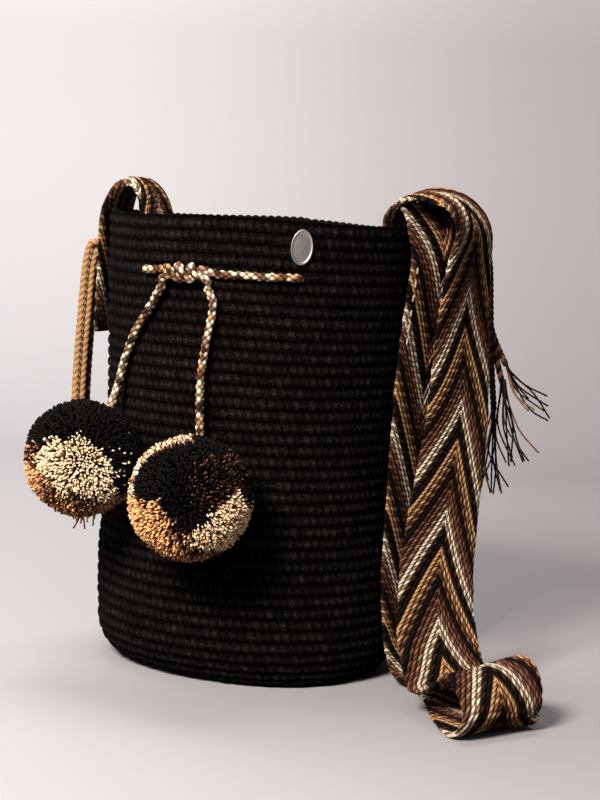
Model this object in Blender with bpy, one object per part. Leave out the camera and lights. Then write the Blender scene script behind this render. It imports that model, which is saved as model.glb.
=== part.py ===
"""A crocheted mochila bag: a black cylinder of ridged rows with an open mouth, a knotted
drawstring with two pompoms, and a woven chevron strap that is draped over the rim at both sides.

Metres, +Z up. The base stands on the floor at the origin, and the front faces -Y.
"""

import math

import bmesh
import bpy
import numpy as np

# The bag
BAG_HEIGHT = 0.328
BAG_RADIUS = 0.116
WAIST_IN = 0.0025
WALL = 0.004
CORNER_RADIUS = 0.028
ROW_PITCH = 0.0075
ROW_DEPTH = 0.0014
ROUND_STEPS = 28

# The drawstring, its holes and its half knot
CORD_DIAMETER = 0.0046
TOUCH_GAP = 0.0003
EYELET_ANGLE = 30.0
EYELET_DROP = 0.038
EYELET_HALF_WIDTH = 0.0070
EYELET_HALF_HEIGHT = 0.0034
KNOT_ANGLE = -10.0
KNOT_HALF_LENGTH = 0.014
KNOT_HALF_TURNS = 3
KNOT_JOINT_DROP = 0.0031
POMPOM_RADIUS = 0.041
POMPOM_LEAN = math.radians(40)
LEFT_POMPOM_ANGLE = -37.0
RIGHT_POMPOM_ANGLE = 0.0

# The strap
STRAP_WIDTH = 0.070
STRAP_THICKNESS = 0.005
STRAP_STEP = 0.0085
STRAP_RIDGE = 0.0010
FRINGE_DIAMETER = 0.0036
STITCH_START = 0.028
STITCH_PITCH = 0.0105
STITCH_COUNT = 6

# The oval badge
BADGE_WIDTH = 0.016
BADGE_HEIGHT = 0.025
BADGE_THICKNESS = 0.0012
BADGE_ANGLE = 34.0
BADGE_DROP = 0.0165

CORD_RADIUS = CORD_DIAMETER / 2
EYELET_Z = BAG_HEIGHT - EYELET_DROP
CORD_OUTSIDE = BAG_RADIUS + TOUCH_GAP + CORD_RADIUS
FACET_SAG = BAG_RADIUS * (1 - math.cos(math.pi / ROUND_STEPS))
CORD_INSIDE = BAG_RADIUS - WAIST_IN * 0.2 - WALL - TOUCH_GAP - CORD_RADIUS - FACET_SAG
KNOT_HELIX = CORD_RADIUS + 0.0004
KNOT_RADIUS = CORD_OUTSIDE + KNOT_HELIX
STRAP_ON_WALL = BAG_RADIUS + 2 * TOUCH_GAP + STRAP_THICKNESS / 2


def clear_scene():
    for old in list(bpy.data.objects):
        bpy.data.objects.remove(old)


def make_material(name, colour, roughness, metallic=0.0):
    material = bpy.data.materials.new(name)
    material.use_nodes = True
    shader = material.node_tree.nodes["Principled BSDF"]
    shader.inputs["Base Color"].default_value = (*colour, 1.0)
    shader.inputs["Roughness"].default_value = roughness
    shader.inputs["Metallic"].default_value = metallic
    material.diffuse_color = (*colour, 1.0)
    return material


def add_object(name, data, material, origin=(0.0, 0.0, 0.0)):
    obj = bpy.data.objects.new(name, data)
    obj.location = origin
    obj.data.materials.append(material)
    bpy.context.scene.collection.objects.link(obj)
    return obj


def mesh_object(name, points, faces, material, origin=(0.0, 0.0, 0.0)):
    """A mesh whose points are given in the scene's frame, stored about the origin given."""
    mesh = bpy.data.meshes.new(name)
    mesh.from_pydata([tuple(p) for p in np.asarray(points) - np.asarray(origin)], [], faces)
    shape = bmesh.new()
    shape.from_mesh(mesh)
    bmesh.ops.recalc_face_normals(shape, faces=shape.faces)
    shape.to_mesh(mesh)
    shape.free()
    return add_object(name, mesh, material, origin)


def around(angle, radius, z):
    """The point at this angle in degrees from the front, turning towards +X."""
    turn = math.radians(angle)
    return np.array([radius * math.sin(turn), -radius * math.cos(turn), z])


def tangent_at(angle):
    turn = math.radians(angle)
    return np.array([math.cos(turn), math.sin(turn), 0.0])


def smooth_path(points, step):
    """A Catmull-Rom curve through rows of numbers, in even steps along its first three columns."""
    rows = np.asarray(points, float)
    ends = np.vstack([2 * rows[0] - rows[1], rows, 2 * rows[-1] - rows[-2]])
    t = np.linspace(0.0, 1.0, 24, endpoint=False)[:, None]
    dense = []
    for a, b, c, d in zip(ends[:-3], ends[1:-2], ends[2:-1], ends[3:]):
        cubic = -a + 3 * b - 3 * c + d
        dense.append(b + 0.5 * t * ((c - a) + t * ((2 * a - 5 * b + 4 * c - d) + t * cubic)))
    dense = np.vstack(dense + [rows[-1:]])
    along = np.concatenate([[0.0], np.cumsum(np.linalg.norm(np.diff(dense[:, :3], axis=0), axis=1))])
    marks = np.linspace(0.0, along[-1], max(3, round(along[-1] / step) + 1))
    return np.stack([np.interp(marks, along, column) for column in dense.T], axis=1)


def cord_object(name, points, diameter, material, origin=(0.0, 0.0, 0.0), radii=None):
    curve = bpy.data.curves.new(name, "CURVE")
    curve.dimensions = "3D"
    curve.bevel_depth = diameter / 2
    curve.bevel_resolution = 2
    curve.use_fill_caps = True
    line = curve.splines.new("POLY")
    line.points.add(len(points) - 1)
    if radii is None:
        radii = [1.0] * len(points)
    places = np.asarray(points) - np.asarray(origin)
    for point, place, radius in zip(line.points, places, radii):
        point.co = (*place, 1.0)
        point.radius = radius
    return add_object(name, curve, material, origin)


def round_ended(points, radius):
    """A path with half-ball ends added beyond it, and the share of the full radius at each point."""
    first = points[0] - points[1]
    last = points[-1] - points[-2]
    first = first / np.linalg.norm(first) * radius
    last = last / np.linalg.norm(last) * radius
    turns = np.radians([25.0, 50.0, 72.0])
    head = [points[0] + first * math.sin(turn) for turn in turns[::-1]]
    tail = [points[-1] + last * math.sin(turn) for turn in turns]
    shares = [math.cos(turn) for turn in turns]
    return head + list(points) + tail, shares[::-1] + [1.0] * len(points) + shares


def waisted(radius, z):
    return radius - WAIST_IN * math.sin(math.pi * z / BAG_HEIGHT) ** 2


def body_profile():
    """Radius and height from the middle of the base, up the ridged outside and down the inside."""
    flat = BAG_RADIUS - CORNER_RADIUS
    arc = CORNER_RADIUS * math.pi / 2
    length = arc + BAG_HEIGHT - CORNER_RADIUS
    steps = 2 * round(length / ROW_PITCH)
    outside = [(flat * 0.5, 0.0), (flat, 0.0)]
    for i in range(1, steps + 1):
        s = length * i / steps
        sunk = ROW_DEPTH if i % 2 == 0 and i < steps else 0.0
        if s < arc:
            turn = s / CORNER_RADIUS
            reach = CORNER_RADIUS - sunk
            outside.append((flat + reach * math.sin(turn), CORNER_RADIUS - reach * math.cos(turn)))
        else:
            z = CORNER_RADIUS + s - arc
            outside.append((waisted(BAG_RADIUS, z) - sunk, z))
    inner = BAG_RADIUS - WALL
    corner = CORNER_RADIUS - WALL
    inside = [(waisted(inner, BAG_HEIGHT * k / 5), BAG_HEIGHT * k / 5) for k in (5, 4, 3, 2, 1)]
    inside.append((inner, CORNER_RADIUS))
    for k in (1, 2):
        turn = math.pi / 2 * (1 - k / 3)
        inside.append((flat + corner * math.sin(turn), WALL + corner * (1 - math.cos(turn))))
    inside.append((flat, WALL))
    return outside + inside


def revolved(profile, top, bottom):
    """A closed shell from a profile, with one pole under it and one over its inner floor."""
    angles = 2 * np.pi * np.arange(ROUND_STEPS) / ROUND_STEPS
    ring = np.stack([np.cos(angles), np.sin(angles)], axis=1)
    points = [np.column_stack([ring * r, np.full(ROUND_STEPS, z)]) for r, z in profile]
    points = np.vstack(points + [np.array([[0.0, 0.0, bottom], [0.0, 0.0, top]])])
    faces = []
    for row in range(len(profile) - 1):
        for i in range(ROUND_STEPS):
            j = (i + 1) % ROUND_STEPS
            a = row * ROUND_STEPS
            b = a + ROUND_STEPS
            faces.append((a + i, a + j, b + j, b + i))
    under = len(points) - 2
    last = (len(profile) - 1) * ROUND_STEPS
    for i in range(ROUND_STEPS):
        j = (i + 1) % ROUND_STEPS
        faces.append((j, i, under))
        faces.append((last + i, last + j, under + 1))
    return points, faces


def cutter(name, angle, z, half_width, half_height, round_hole=True):
    """A helper that pierces the wall at this angle, as an oval or as a slot."""
    shape = bmesh.new()
    if round_hole:
        bmesh.ops.create_cone(
            shape, cap_ends=True, segments=12, radius1=1.0, radius2=1.0, depth=1.0
        )
    else:
        bmesh.ops.create_cube(shape, size=2.0)
    mesh = bpy.data.meshes.new(name)
    shape.to_mesh(mesh)
    shape.free()
    obj = bpy.data.objects.new(name, mesh)
    bpy.context.scene.collection.objects.link(obj)
    depth = 0.03 if round_hole else 0.015
    obj.scale = (half_width, half_height, depth)
    obj.rotation_euler = (math.radians(90), 0.0, math.radians(angle))
    obj.location = around(angle, BAG_RADIUS, z)
    obj.hide_render = True
    obj.display_type = "WIRE"
    return obj


def make_body(material):
    points, faces = revolved(body_profile(), WALL, 0.0)
    body = mesh_object("bag_body", points, faces, material)
    holes = []
    for angle in (EYELET_ANGLE, 180 - EYELET_ANGLE, 180 + EYELET_ANGLE, -EYELET_ANGLE):
        holes.append(
            cutter(f"eyelet_{round(angle)}", angle, EYELET_Z, EYELET_HALF_WIDTH, EYELET_HALF_HEIGHT)
        )
    for side in (-1, 1):
        z = BAG_HEIGHT - BADGE_DROP + side * BADGE_HEIGHT * 0.25
        holes.append(cutter(f"prong_slot_{side}", BADGE_ANGLE, z, 0.0017, 0.0008, False))
    for hole in holes:
        cut = body.modifiers.new(hole.name, "BOOLEAN")
        cut.operation = "DIFFERENCE"
        cut.solver = "EXACT"
        cut.object = hole
    return body


def knot_strand(direction):
    """Half of the half knot, from the end that hangs to the end that runs to a hole."""
    marks = np.linspace(1.0, -1.0, 15)
    points = []
    for mark in marks:
        turn = math.pi * KNOT_HALF_TURNS * (mark + 1) / 2
        up = KNOT_HELIX * math.cos(turn)
        out = KNOT_HELIX * math.sin(turn) * direction
        along = direction * mark * KNOT_HALF_LENGTH
        place = around(KNOT_ANGLE, KNOT_RADIUS + out, EYELET_Z + up)
        points.append(place + tangent_at(KNOT_ANGLE) * along)
    return points


def hanging_end(direction):
    """The short bend from the twist down to where the tail starts."""
    base = around(KNOT_ANGLE, KNOT_RADIUS, EYELET_Z - KNOT_HELIX)
    along = tangent_at(KNOT_ANGLE) * direction
    outward = around(KNOT_ANGLE, 1.0, 0.0)
    return [
        base + along * (KNOT_HALF_LENGTH + 0.0042) + outward * -0.0010 + np.array([0, 0, -0.0042]),
        base + along * (KNOT_HALF_LENGTH + 0.0030) + outward * -0.0006 + np.array([0, 0, -0.0016]),
    ]


def through_wall(angle, way):
    """Points that lead the cord from outside to inside at a hole, or back with way -1."""
    tilt = math.degrees(0.0052 / BAG_RADIUS)
    ends = [(-1.8, CORD_OUTSIDE), (-1.0, CORD_OUTSIDE), (0.0, None), (1.0, CORD_INSIDE), (1.8, CORD_INSIDE)]
    middle = (CORD_OUTSIDE + CORD_INSIDE) / 2
    return [around(angle + way * t * tilt, r or middle, EYELET_Z) for t, r in ends]


def arc_between(start, end, radius, count):
    return [around(a, radius, EYELET_Z) for a in np.linspace(start, end, count)]


def make_drawstring(material):
    """From the tail at the right of the knot, all round the bag, to the tail at its left."""
    hole = EYELET_ANGLE
    skip = math.degrees(1.8 * 0.0052 / BAG_RADIUS) + 2.0
    knot_edge = math.degrees(KNOT_HALF_LENGTH / BAG_RADIUS)
    left_end = KNOT_ANGLE - knot_edge
    right_end = KNOT_ANGLE + knot_edge
    points = hanging_end(1) + knot_strand(1)
    points += [around(left_end - 1.6, CORD_OUTSIDE + 0.0012, EYELET_Z + 0.0014)]
    points += through_wall(-hole, -1)
    points += arc_between(-hole - skip, -180 + hole + skip, CORD_INSIDE, 11)
    points += through_wall(-180 + hole, 1)[::-1]
    points += arc_between(-180 + hole - skip, -180 - hole + skip, CORD_OUTSIDE, 6)
    points += through_wall(-180 - hole, -1)
    points += arc_between(-180 - hole - skip, -360 + hole + skip, CORD_INSIDE, 11)
    points += through_wall(-360 + hole, 1)[::-1]
    points += arc_between(-360 + hole - skip, -360 + right_end + 5.0, CORD_OUTSIDE, 3)
    points += [around(right_end + 1.6, CORD_OUTSIDE + 0.0012, EYELET_Z + 0.0014)]
    points += knot_strand(-1)[::-1] + hanging_end(-1)[::-1]
    return cord_object("drawstring", points, CORD_DIAMETER, material)


def knot_exit(direction):
    """Where the tail turns at the knot: the middle of its rounded end."""
    return hanging_end(direction)[0] + np.array([0.0, 0.0, -KNOT_JOINT_DROP])


def tail_route(direction):
    """Angle, distance from the wall's cord line and depth below the holes, as the tail hangs."""
    lean = math.sin(POMPOM_LEAN)
    reach = POMPOM_RADIUS * (1 - lean) - CORD_RADIUS * (1 + lean) + 0.0008
    if direction > 0:
        stops = [(0.5, 0.0012, 0.022), (-1.2, 0.001, 0.045), (-2.6, 0.001, 0.070)]
        stops += [(-2.2, 0.003, 0.096), (RIGHT_POMPOM_ANGLE, reach, 0.1180)]
    else:
        stops = [(-25.0, 0.0012, 0.028), (-31.0, 0.001, 0.044), (-36.0, 0.0015, 0.064)]
        stops += [(-38.0, 0.004, 0.084), (LEFT_POMPOM_ANGLE, reach, 0.1020)]
    points = [knot_exit(direction)]
    for angle, out, drop in stops:
        points.append(around(angle, CORD_OUTSIDE + out, EYELET_Z - drop))
    return smooth_path(points, CORD_DIAMETER * 2)


def make_tail(name, direction, material):
    points = tail_route(direction)
    path, shares = round_ended(points, CORD_RADIUS)
    cord_object(name, path, CORD_DIAMETER, material, points[0], shares)
    return points[-1]


def make_pompom(name, crown, angle, material):
    """A ball of cut yarn ends that leans on the wall and hangs from a crown near the wall."""
    outward = around(angle, 1.0, 0.0)
    up = math.cos(POMPOM_LEAN) * np.array([0.0, 0.0, 1.0]) - math.sin(POMPOM_LEAN) * outward
    side = tangent_at(angle)
    centre = np.array(crown) - up * (POMPOM_RADIUS + CORD_RADIUS + 0.0004)
    shape = bmesh.new()
    bmesh.ops.create_icosphere(shape, subdivisions=3, radius=1.0)
    points = np.array([v.co[:] for v in shape.verts])
    faces = [tuple(v.index for v in f.verts) for f in shape.faces]
    shape.free()
    tuft = np.where(np.sin(np.arange(len(points)) * 2.4) > 0, 1.0, 0.93)
    tuft[points[:, 2] > 0.99] = 1.0
    frame = np.stack([side, np.cross(up, side), up])
    return mesh_object(name, points * tuft[:, None] * POMPOM_RADIUS @ frame + centre, faces, material, crown)


def strap_stations():
    """Middle of the strap and the direction of its width, by hand from end to end."""
    wall = STRAP_ON_WALL
    top = BAG_HEIGHT
    left_end = [
        (-wall, 0.0, top - 0.090, 0.0, 1.0, 0.0),
        (-wall, 0.0, top - 0.045, 0.0, 1.0, 0.0),
        (-wall - 0.0006, 0.0, top - 0.006, 0.0, 1.0, 0.0),
        (-wall + 0.003, 0.0, top + 0.012, 0.0, 1.0, 0.0),
        (-wall + 0.012, 0.0, top + 0.0205, 0.0, 1.0, 0.0),
        (-wall + 0.024, 0.0, top + 0.0195, 0.0, 1.0, 0.0),
        (-wall + 0.036, 0.001, top + 0.010, 0.0, 1.0, 0.0),
        (-wall + 0.044, 0.002, top - 0.008, 0.0, 1.0, 0.0),
    ]
    inside = [
        (-0.066, 0.012, top - 0.040, 0.0, 1.0, 0.0),
        (-0.045, 0.026, top - 0.072, 0.0, 1.0, 0.0),
        (-0.005, 0.034, top - 0.088, 0.0, 1.0, 0.0),
        (0.040, 0.026, top - 0.072, 0.0, 1.0, 0.0),
        (0.070, 0.012, top - 0.038, 0.0, 1.0, 0.0),
    ]
    right_arch = [
        (0.084, 0.001, top - 0.006, 0.0, 1.0, 0.0),
        (0.094, 0.000, top + 0.013, 0.0, 1.0, 0.0),
        (0.109, 0.000, top + 0.0235, 0.0, 1.0, 0.0),
        (0.129, 0.000, top + 0.0245, 0.0, 1.0, 0.0),
        (0.148, 0.001, top + 0.018, 0.05, 1.0, 0.0),
        (0.1595, 0.003, top + 0.001, 0.12, 0.99, 0.0),
        (0.1585, 0.007, top - 0.026, 0.20, 0.98, 0.0),
    ]
    front_layer = [
        (0.1550, 0.006, 0.260, 0.32, 0.95, 0.0),
        (0.1550, 0.000, 0.220, 0.43, 0.90, 0.0),
        (0.1555, -0.009, 0.186, 0.46, 0.89, 0.0),
        (0.1555, -0.023, 0.152, 0.48, 0.88, 0.0),
        (0.1555, -0.039, 0.119, 0.50, 0.87, 0.0),
        (0.1575, -0.058, 0.087, 0.53, 0.85, 0.0),
        (0.1620, -0.074, 0.060, 0.57, 0.82, 0.0),
        (0.1690, -0.088, 0.036, 0.62, 0.78, 0.03),
    ]
    floor_curl = [
        (0.1800, -0.1000, 0.0190, 0.62, 0.78, 0.06),
        (0.1940, -0.1150, 0.0270, 0.60, 0.78, 0.08),
        (0.2070, -0.1310, 0.0380, 0.58, 0.77, 0.12),
        (0.2180, -0.1460, 0.0350, 0.57, 0.78, 0.12),
        (0.2260, -0.1570, 0.0190, 0.57, 0.80, 0.06),
        (0.2200, -0.1520, 0.0052, 0.60, 0.79, 0.02),
        (0.2030, -0.1260, 0.0030, 0.68, 0.73, 0.0),
        (0.1860, -0.0900, 0.0030, 0.80, 0.60, 0.0),
        (0.1650, -0.0520, 0.0032, 0.75, 0.66, 0.0),
        (0.1400, -0.0260, 0.0075, 0.35, 0.93, 0.0),
    ]
    rear_layer = [
        (0.1235, -0.0150, 0.0260, 0.06, 1.0, 0.0),
        (0.1205, -0.0110, 0.0550, 0.0, 1.0, 0.0),
        (0.1200, -0.0080, 0.1000, 0.0, 1.0, 0.0),
        (0.1200, -0.0040, 0.1600, 0.0, 1.0, 0.0),
        (wall, 0.0, 0.2300, 0.0, 1.0, 0.0),
        (wall, 0.0, top - 0.045, 0.0, 1.0, 0.0),
        (wall, 0.0, top - 0.004, 0.0, 1.0, 0.0),
    ]
    return left_end + inside + right_arch + front_layer + floor_curl + rear_layer


def make_strap(material):
    """The folded band, with woven ridges that run as chevrons across both of its faces."""
    rows = smooth_path(strap_stations(), STRAP_STEP / 8)
    middle = rows[:, :3]
    tangent = np.gradient(middle, axis=0)
    tangent /= np.linalg.norm(tangent, axis=1, keepdims=True)
    across = rows[:, 3:]
    across = across - tangent * np.sum(across * tangent, axis=1, keepdims=True)
    across /= np.linalg.norm(across, axis=1, keepdims=True)
    normal = np.cross(tangent, across)
    half = STRAP_WIDTH / 2
    lanes = np.array([-1.0, -0.5, 0.0, 0.5, 1.0])
    count = (len(rows) - 1) // 8
    shift = 16
    sections = []
    for i in range(count + 1):
        deep = STRAP_RIDGE if i % 2 else 0.0
        for side in (1, -1):
            for lane in lanes[::side]:
                slope = shift * (abs(lane) - 0.5) * min(1.0, i / 3, (count - i) / 3)
                k = int(np.clip(round(i * 8 + slope), 0, len(rows) - 1))
                half_thick = STRAP_THICKNESS / 2 * (0.55 if abs(lane) == 1.0 else 1.0) - deep / 2
                place = middle[k] + across[k] * lane * half + normal[k] * side * half_thick
                sections.append(place)
    ring = 2 * len(lanes)
    faces = []
    for i in range(count):
        for j in range(ring):
            m = (j + 1) % ring
            a = i * ring
            faces.append((a + j, a + m, a + ring + m, a + ring + j))
    for start in (0, count * ring):
        for j in range(len(lanes) - 1):
            a = start + j
            b = start + ring - 1 - j
            faces.append((a, a + 1, b - 1, b))
    return mesh_object("strap", sections, faces, material)


def make_stitches(name, side, edge, material):
    """One line of running stitch along an edge of the strap, where its end is sewn to the wall."""
    face = STRAP_ON_WALL + STRAP_THICKNESS * 0.34 + TOUCH_GAP
    top = BAG_HEIGHT - STITCH_START
    points = []
    for i in range(STITCH_COUNT):
        begin = top - i * STITCH_PITCH
        for down, half in ((0.0, 0.0002), (0.0008, 0.0006), (0.0052, 0.0006), (0.0060, 0.0002)):
            z = begin - down
            for x, y in ((0.0, -half), (2 * half, -half), (2 * half, half), (0.0, half)):
                points.append((side * (face + x), edge * STRAP_WIDTH * 0.44 + y, z))
    faces = [(0, 1, 2, 3), tuple(len(points) - 4 + k for k in range(4))]
    for row in range(len(points) // 4 - 1):
        for k in range(4):
            m = (k + 1) % 4
            a = 4 * row
            faces.append((a + k, a + m, a + 4 + m, a + 4 + k))
    return mesh_object(name, points, faces, material)


LEFT_FRINGE = [
    (-0.1233, 0.0, 0.3050),
    (-0.1274, 0.0, 0.3048),
    (-0.1315, 0.0, 0.3015),
    (-0.1345, 0.0, 0.2850),
    (-0.1365, 0.0, 0.2500),
    (-0.1380, 0.0, 0.2150),
    (-0.1385, 0.0, 0.1850),
    (-0.1375, 0.0, 0.1500),
    (-0.1350, 0.0, 0.1180),
]
RIGHT_FRINGE = [
    (0.1230, 0.0220, 0.3160),
    (0.1272, 0.0245, 0.3175),
    (0.1330, 0.0420, 0.3240),
    (0.1420, 0.0520, 0.3310),
    (0.1510, 0.0585, 0.3325),
    (0.1610, 0.0605, 0.3230),
    (0.1655, 0.0610, 0.3000),
    (0.1680, 0.0610, 0.2720),
    (0.1725, 0.0605, 0.2480),
    (0.1790, 0.0600, 0.2260),
]
LEFT_SPREAD = [(0.0006, 0.0, -0.0225, 0.0), (0.0, 0.0036, -0.0176, -0.001), (0.0, 0.0046, -0.0100, 0.003)]
RIGHT_SPREAD = [(0.0, 0.0, 0.0, 0.0), (0.0, 0.0034, -0.0050, 0.0012), (0.0, 0.0068, -0.0098, 0.0024)]


def spread_route(route, offset):
    """A fringe cord's route: its start shifts along X by the first number, and the rest by the others."""
    rows = np.array(route)
    away = np.ones((len(rows), 3))
    away[:, 0] = [0.0, 0.3] + [1.0] * (len(rows) - 2)
    rows = rows + away * np.array(offset[1:])
    rows[0, 0] += offset[0]
    return smooth_path(rows, FRINGE_DIAMETER * 2.8)


def make_fringe(material):
    """The strap's own warps at each end, twisted into cords that hang free."""
    for side, route, spread in (("left", LEFT_FRINGE, LEFT_SPREAD), ("right", RIGHT_FRINGE, RIGHT_SPREAD)):
        for number, offset in enumerate(spread):
            points = spread_route(route, offset)
            cord_object(f"{side}_fringe_{number + 1}", points, FRINGE_DIAMETER, material)


def make_badge(material):
    """An oval plate with a raised rim and two prongs bent over inside the wall."""
    steps = 28
    wide = BADGE_WIDTH / 2
    tall = BADGE_HEIGHT / 2
    rings = [(0.86, 0.6), (0.90, 1.0), (0.97, 1.0), (1.0, 0.5), (1.0, 0.0)]
    points = []
    for size, share in rings:
        out = BADGE_THICKNESS * share
        for i in range(steps):
            turn = 2 * math.pi * i / steps
            points.append((wide * size * math.cos(turn), out, tall * size * math.sin(turn)))
    points += [(0.0, BADGE_THICKNESS * 0.75, 0.0), (0.0, 0.0, 0.0)]
    faces = []
    for row in range(len(rings) - 1):
        for i in range(steps):
            j = (i + 1) % steps
            a = row * steps
            faces.append((a + i, a + j, a + steps + j, a + steps + i))
    last = (len(rings) - 1) * steps
    for i in range(steps):
        j = (i + 1) % steps
        faces.append((i, j, last + steps))
        faces.append((last + i, last + j, last + steps + 1))
    local = np.array(points)
    place = around(BADGE_ANGLE, BAG_RADIUS + 0.0006, BAG_HEIGHT - BADGE_DROP)
    outward = around(BADGE_ANGLE, 1.0, 0.0)
    world = place + local[:, :1] * tangent_at(BADGE_ANGLE) + local[:, 1:2] * outward
    world = world + local[:, 2:] * np.array([0, 0, 1.0])
    plate = mesh_object("badge", world, faces, material)
    for side in (-1, 1):
        back = 0.0074
        bend = [(-0.0006, -0.4), (back, -0.4), (back, 4.5)]
        bend += [(back - 0.0008, 4.5), (back - 0.0008, 0.4), (-0.0006, 0.4)]
        ends = [[(x, y, side * z / 1000) for y, z in bend] for x in (-0.0012, 0.0012)]
        sides = [(i, (i + 1) % 6, 6 + (i + 1) % 6, 6 + i) for i in range(6)]
        caps = [tuple(range(6)), tuple(range(6, 12))]
        mesh = bpy.data.meshes.new(f"prong_{side}")
        mesh.from_pydata(ends[0] + ends[1], [], sides + caps)
        shape = bmesh.new()
        shape.from_mesh(mesh)
        bmesh.ops.recalc_face_normals(shape, faces=shape.faces)
        shape.to_mesh(mesh)
        shape.free()
        prong = bpy.data.objects.new(f"prong_{side}", mesh)
        bpy.context.scene.collection.objects.link(prong)
        prong.rotation_euler = (0.0, 0.0, math.radians(BADGE_ANGLE))
        z = BAG_HEIGHT - BADGE_DROP + side * BADGE_HEIGHT * 0.25
        prong.location = around(BADGE_ANGLE, BAG_RADIUS + 0.0009, z)
        prong.hide_render = True
        prong.display_type = "WIRE"
        joined = plate.modifiers.new(prong.name, "BOOLEAN")
        joined.operation = "UNION"
        joined.solver = "EXACT"
        joined.object = prong
    return plate


def main():
    clear_scene()
    black = make_material("black_yarn", (0.012, 0.010, 0.011), 0.95)
    mixed = make_material("mixed_braid", (0.42, 0.26, 0.15), 0.9)
    tuft = make_material("cut_yarn", (0.035, 0.026, 0.022), 0.95)
    weave = make_material("chevron_weave", (0.16, 0.09, 0.055), 0.9)
    tan = make_material("tan_cord", (0.42, 0.24, 0.10), 0.85)
    thread = make_material("cream_thread", (0.62, 0.54, 0.45), 0.85)
    silver = make_material("silver_metal", (0.62, 0.57, 0.53), 0.28, 1.0)
    make_body(black)
    make_drawstring(mixed)
    for name, direction, angle in (("left", -1, LEFT_POMPOM_ANGLE), ("right", 1, RIGHT_POMPOM_ANGLE)):
        end = make_tail(f"{name}_tail", direction, mixed)
        make_pompom(f"{name}_pompom", end, angle, tuft)
    make_strap(weave)
    for side, name in ((-1, "left"), (1, "right")):
        make_stitches(f"{name}_front_stitches", side, -1, thread)
        make_stitches(f"{name}_back_stitches", side, 1, thread)
    make_fringe(tan)
    make_badge(silver)


main()
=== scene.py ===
"""The finished look of a crocheted mochila bag, built piece by piece on its CAD frame."""

import math

import bmesh
import bpy
import numpy as np
from mathutils import Matrix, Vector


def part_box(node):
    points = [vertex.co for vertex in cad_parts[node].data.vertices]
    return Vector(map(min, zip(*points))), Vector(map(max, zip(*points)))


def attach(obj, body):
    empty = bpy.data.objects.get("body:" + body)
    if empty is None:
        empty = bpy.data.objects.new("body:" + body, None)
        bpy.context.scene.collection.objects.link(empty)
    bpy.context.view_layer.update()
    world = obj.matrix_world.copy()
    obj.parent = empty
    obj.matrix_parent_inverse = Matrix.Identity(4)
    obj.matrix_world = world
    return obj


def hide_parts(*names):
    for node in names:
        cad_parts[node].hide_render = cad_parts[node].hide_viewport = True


bl_info = {
    "name": "Crocheted mochila bag",
    "version": (1, 0, 0),
    "blender": (4, 5, 0),
    "location": "3D View > Sidebar > Mochila",
    "description": "Builds the crocheted bag, its strap, drawstring and pompoms",
    "category": "Object",
}

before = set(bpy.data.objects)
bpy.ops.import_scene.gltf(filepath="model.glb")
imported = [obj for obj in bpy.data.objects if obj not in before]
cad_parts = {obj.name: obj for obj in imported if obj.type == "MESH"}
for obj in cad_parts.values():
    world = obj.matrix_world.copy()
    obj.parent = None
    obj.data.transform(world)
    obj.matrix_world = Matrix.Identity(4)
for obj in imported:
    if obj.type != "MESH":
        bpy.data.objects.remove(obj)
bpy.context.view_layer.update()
_, BODY_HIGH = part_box("bag_body")
BAG_HEIGHT = BODY_HIGH.z
BAG_RADIUS = BODY_HIGH.x
UP = np.array([0.0, 0.0, 1.0])

# Sizes that the CAD source gives the same pieces
WALL = 0.004
CORNER_RADIUS = 0.028
WAIST_IN = 0.0025
CORD_RADIUS = 0.0023
TOUCH_GAP = 0.0003
FACET_SAG = 0.00073
EYELET_ANGLE = 30.0
EYELET_Z = BAG_HEIGHT - 0.038
KNOT_ANGLE = -10.0
KNOT_HALF_LENGTH = 0.014
KNOT_HALF_TURNS = 3
CORD_OUTSIDE = BAG_RADIUS + TOUCH_GAP + CORD_RADIUS
CORD_INSIDE = BAG_RADIUS - WAIST_IN * 0.2 - WALL - TOUCH_GAP - CORD_RADIUS - FACET_SAG
KNOT_HELIX = CORD_RADIUS + 0.0004
KNOT_RADIUS = CORD_OUTSIDE + KNOT_HELIX
POMPOM_LEAN = math.radians(40)
POMPOM_RADIUS = 0.041
KNOT_JOINT_DROP = 0.0031
LEFT_POMPOM_ANGLE = -37.0
RIGHT_POMPOM_ANGLE = 0.0
STRAP_THICKNESS = 0.005
CHEVRON_TIP_Z = 0.2005
STRAP_ON_WALL = BAG_RADIUS + 2 * TOUCH_GAP + STRAP_THICKNESS / 2
BADGE_ANGLE = 29.5
BADGE_Z = BAG_HEIGHT - 0.0165

# The camera, as fitted to the photograph
CAMERA_AZIMUTH = math.radians(17.0)
CAMERA_DISTANCE = 1.5
CAMERA_HEIGHT = 0.343
CAMERA_PITCH = math.radians(5.66)
CAMERA_YAW = math.radians(1.22)
CAMERA_ROLL = math.radians(3.0)
CAMERA_LENS = 120.0

# How far one ply of a cordlet runs before the next one, in millimetres
PLY_PITCH_MM = 4.4
# How far a ply moves along its cordlet while it crosses it, and how far the shear moves it, in millimetres
PLY_LAY_MM = 5.0
PLY_SHEAR_MM = 6.7

# Points along each span of a smoothed path, before it is cut in even steps
SPAN_SAMPLES = 24
# Points along each stitch and up each row of the crochet
STITCH_STEPS = 4
# How much the yarn colours of the smooth parts of the body are dimmed
PLAIN_LIGHT = 0.7
# Distance along the braid from one stitch to the next of its family
BRAID_PITCH = 0.0058


def around(angle, radius, z):
    """The point at this height and angle in degrees from the front: x is r sin a, y is -r cos a."""
    turn = math.radians(angle)
    return np.array([radius * math.sin(turn), -radius * math.cos(turn), z])


def tangent_at(angle):
    """The level direction in which the angle grows: x is cos a, y is sin a."""
    turn = math.radians(angle)
    return np.array([math.cos(turn), math.sin(turn), 0.0])


def unit(rows):
    """Rows divided by their own lengths, so that each has length 1."""
    return rows / np.maximum(np.linalg.norm(rows, axis=-1, keepdims=True), 1e-12)


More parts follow.
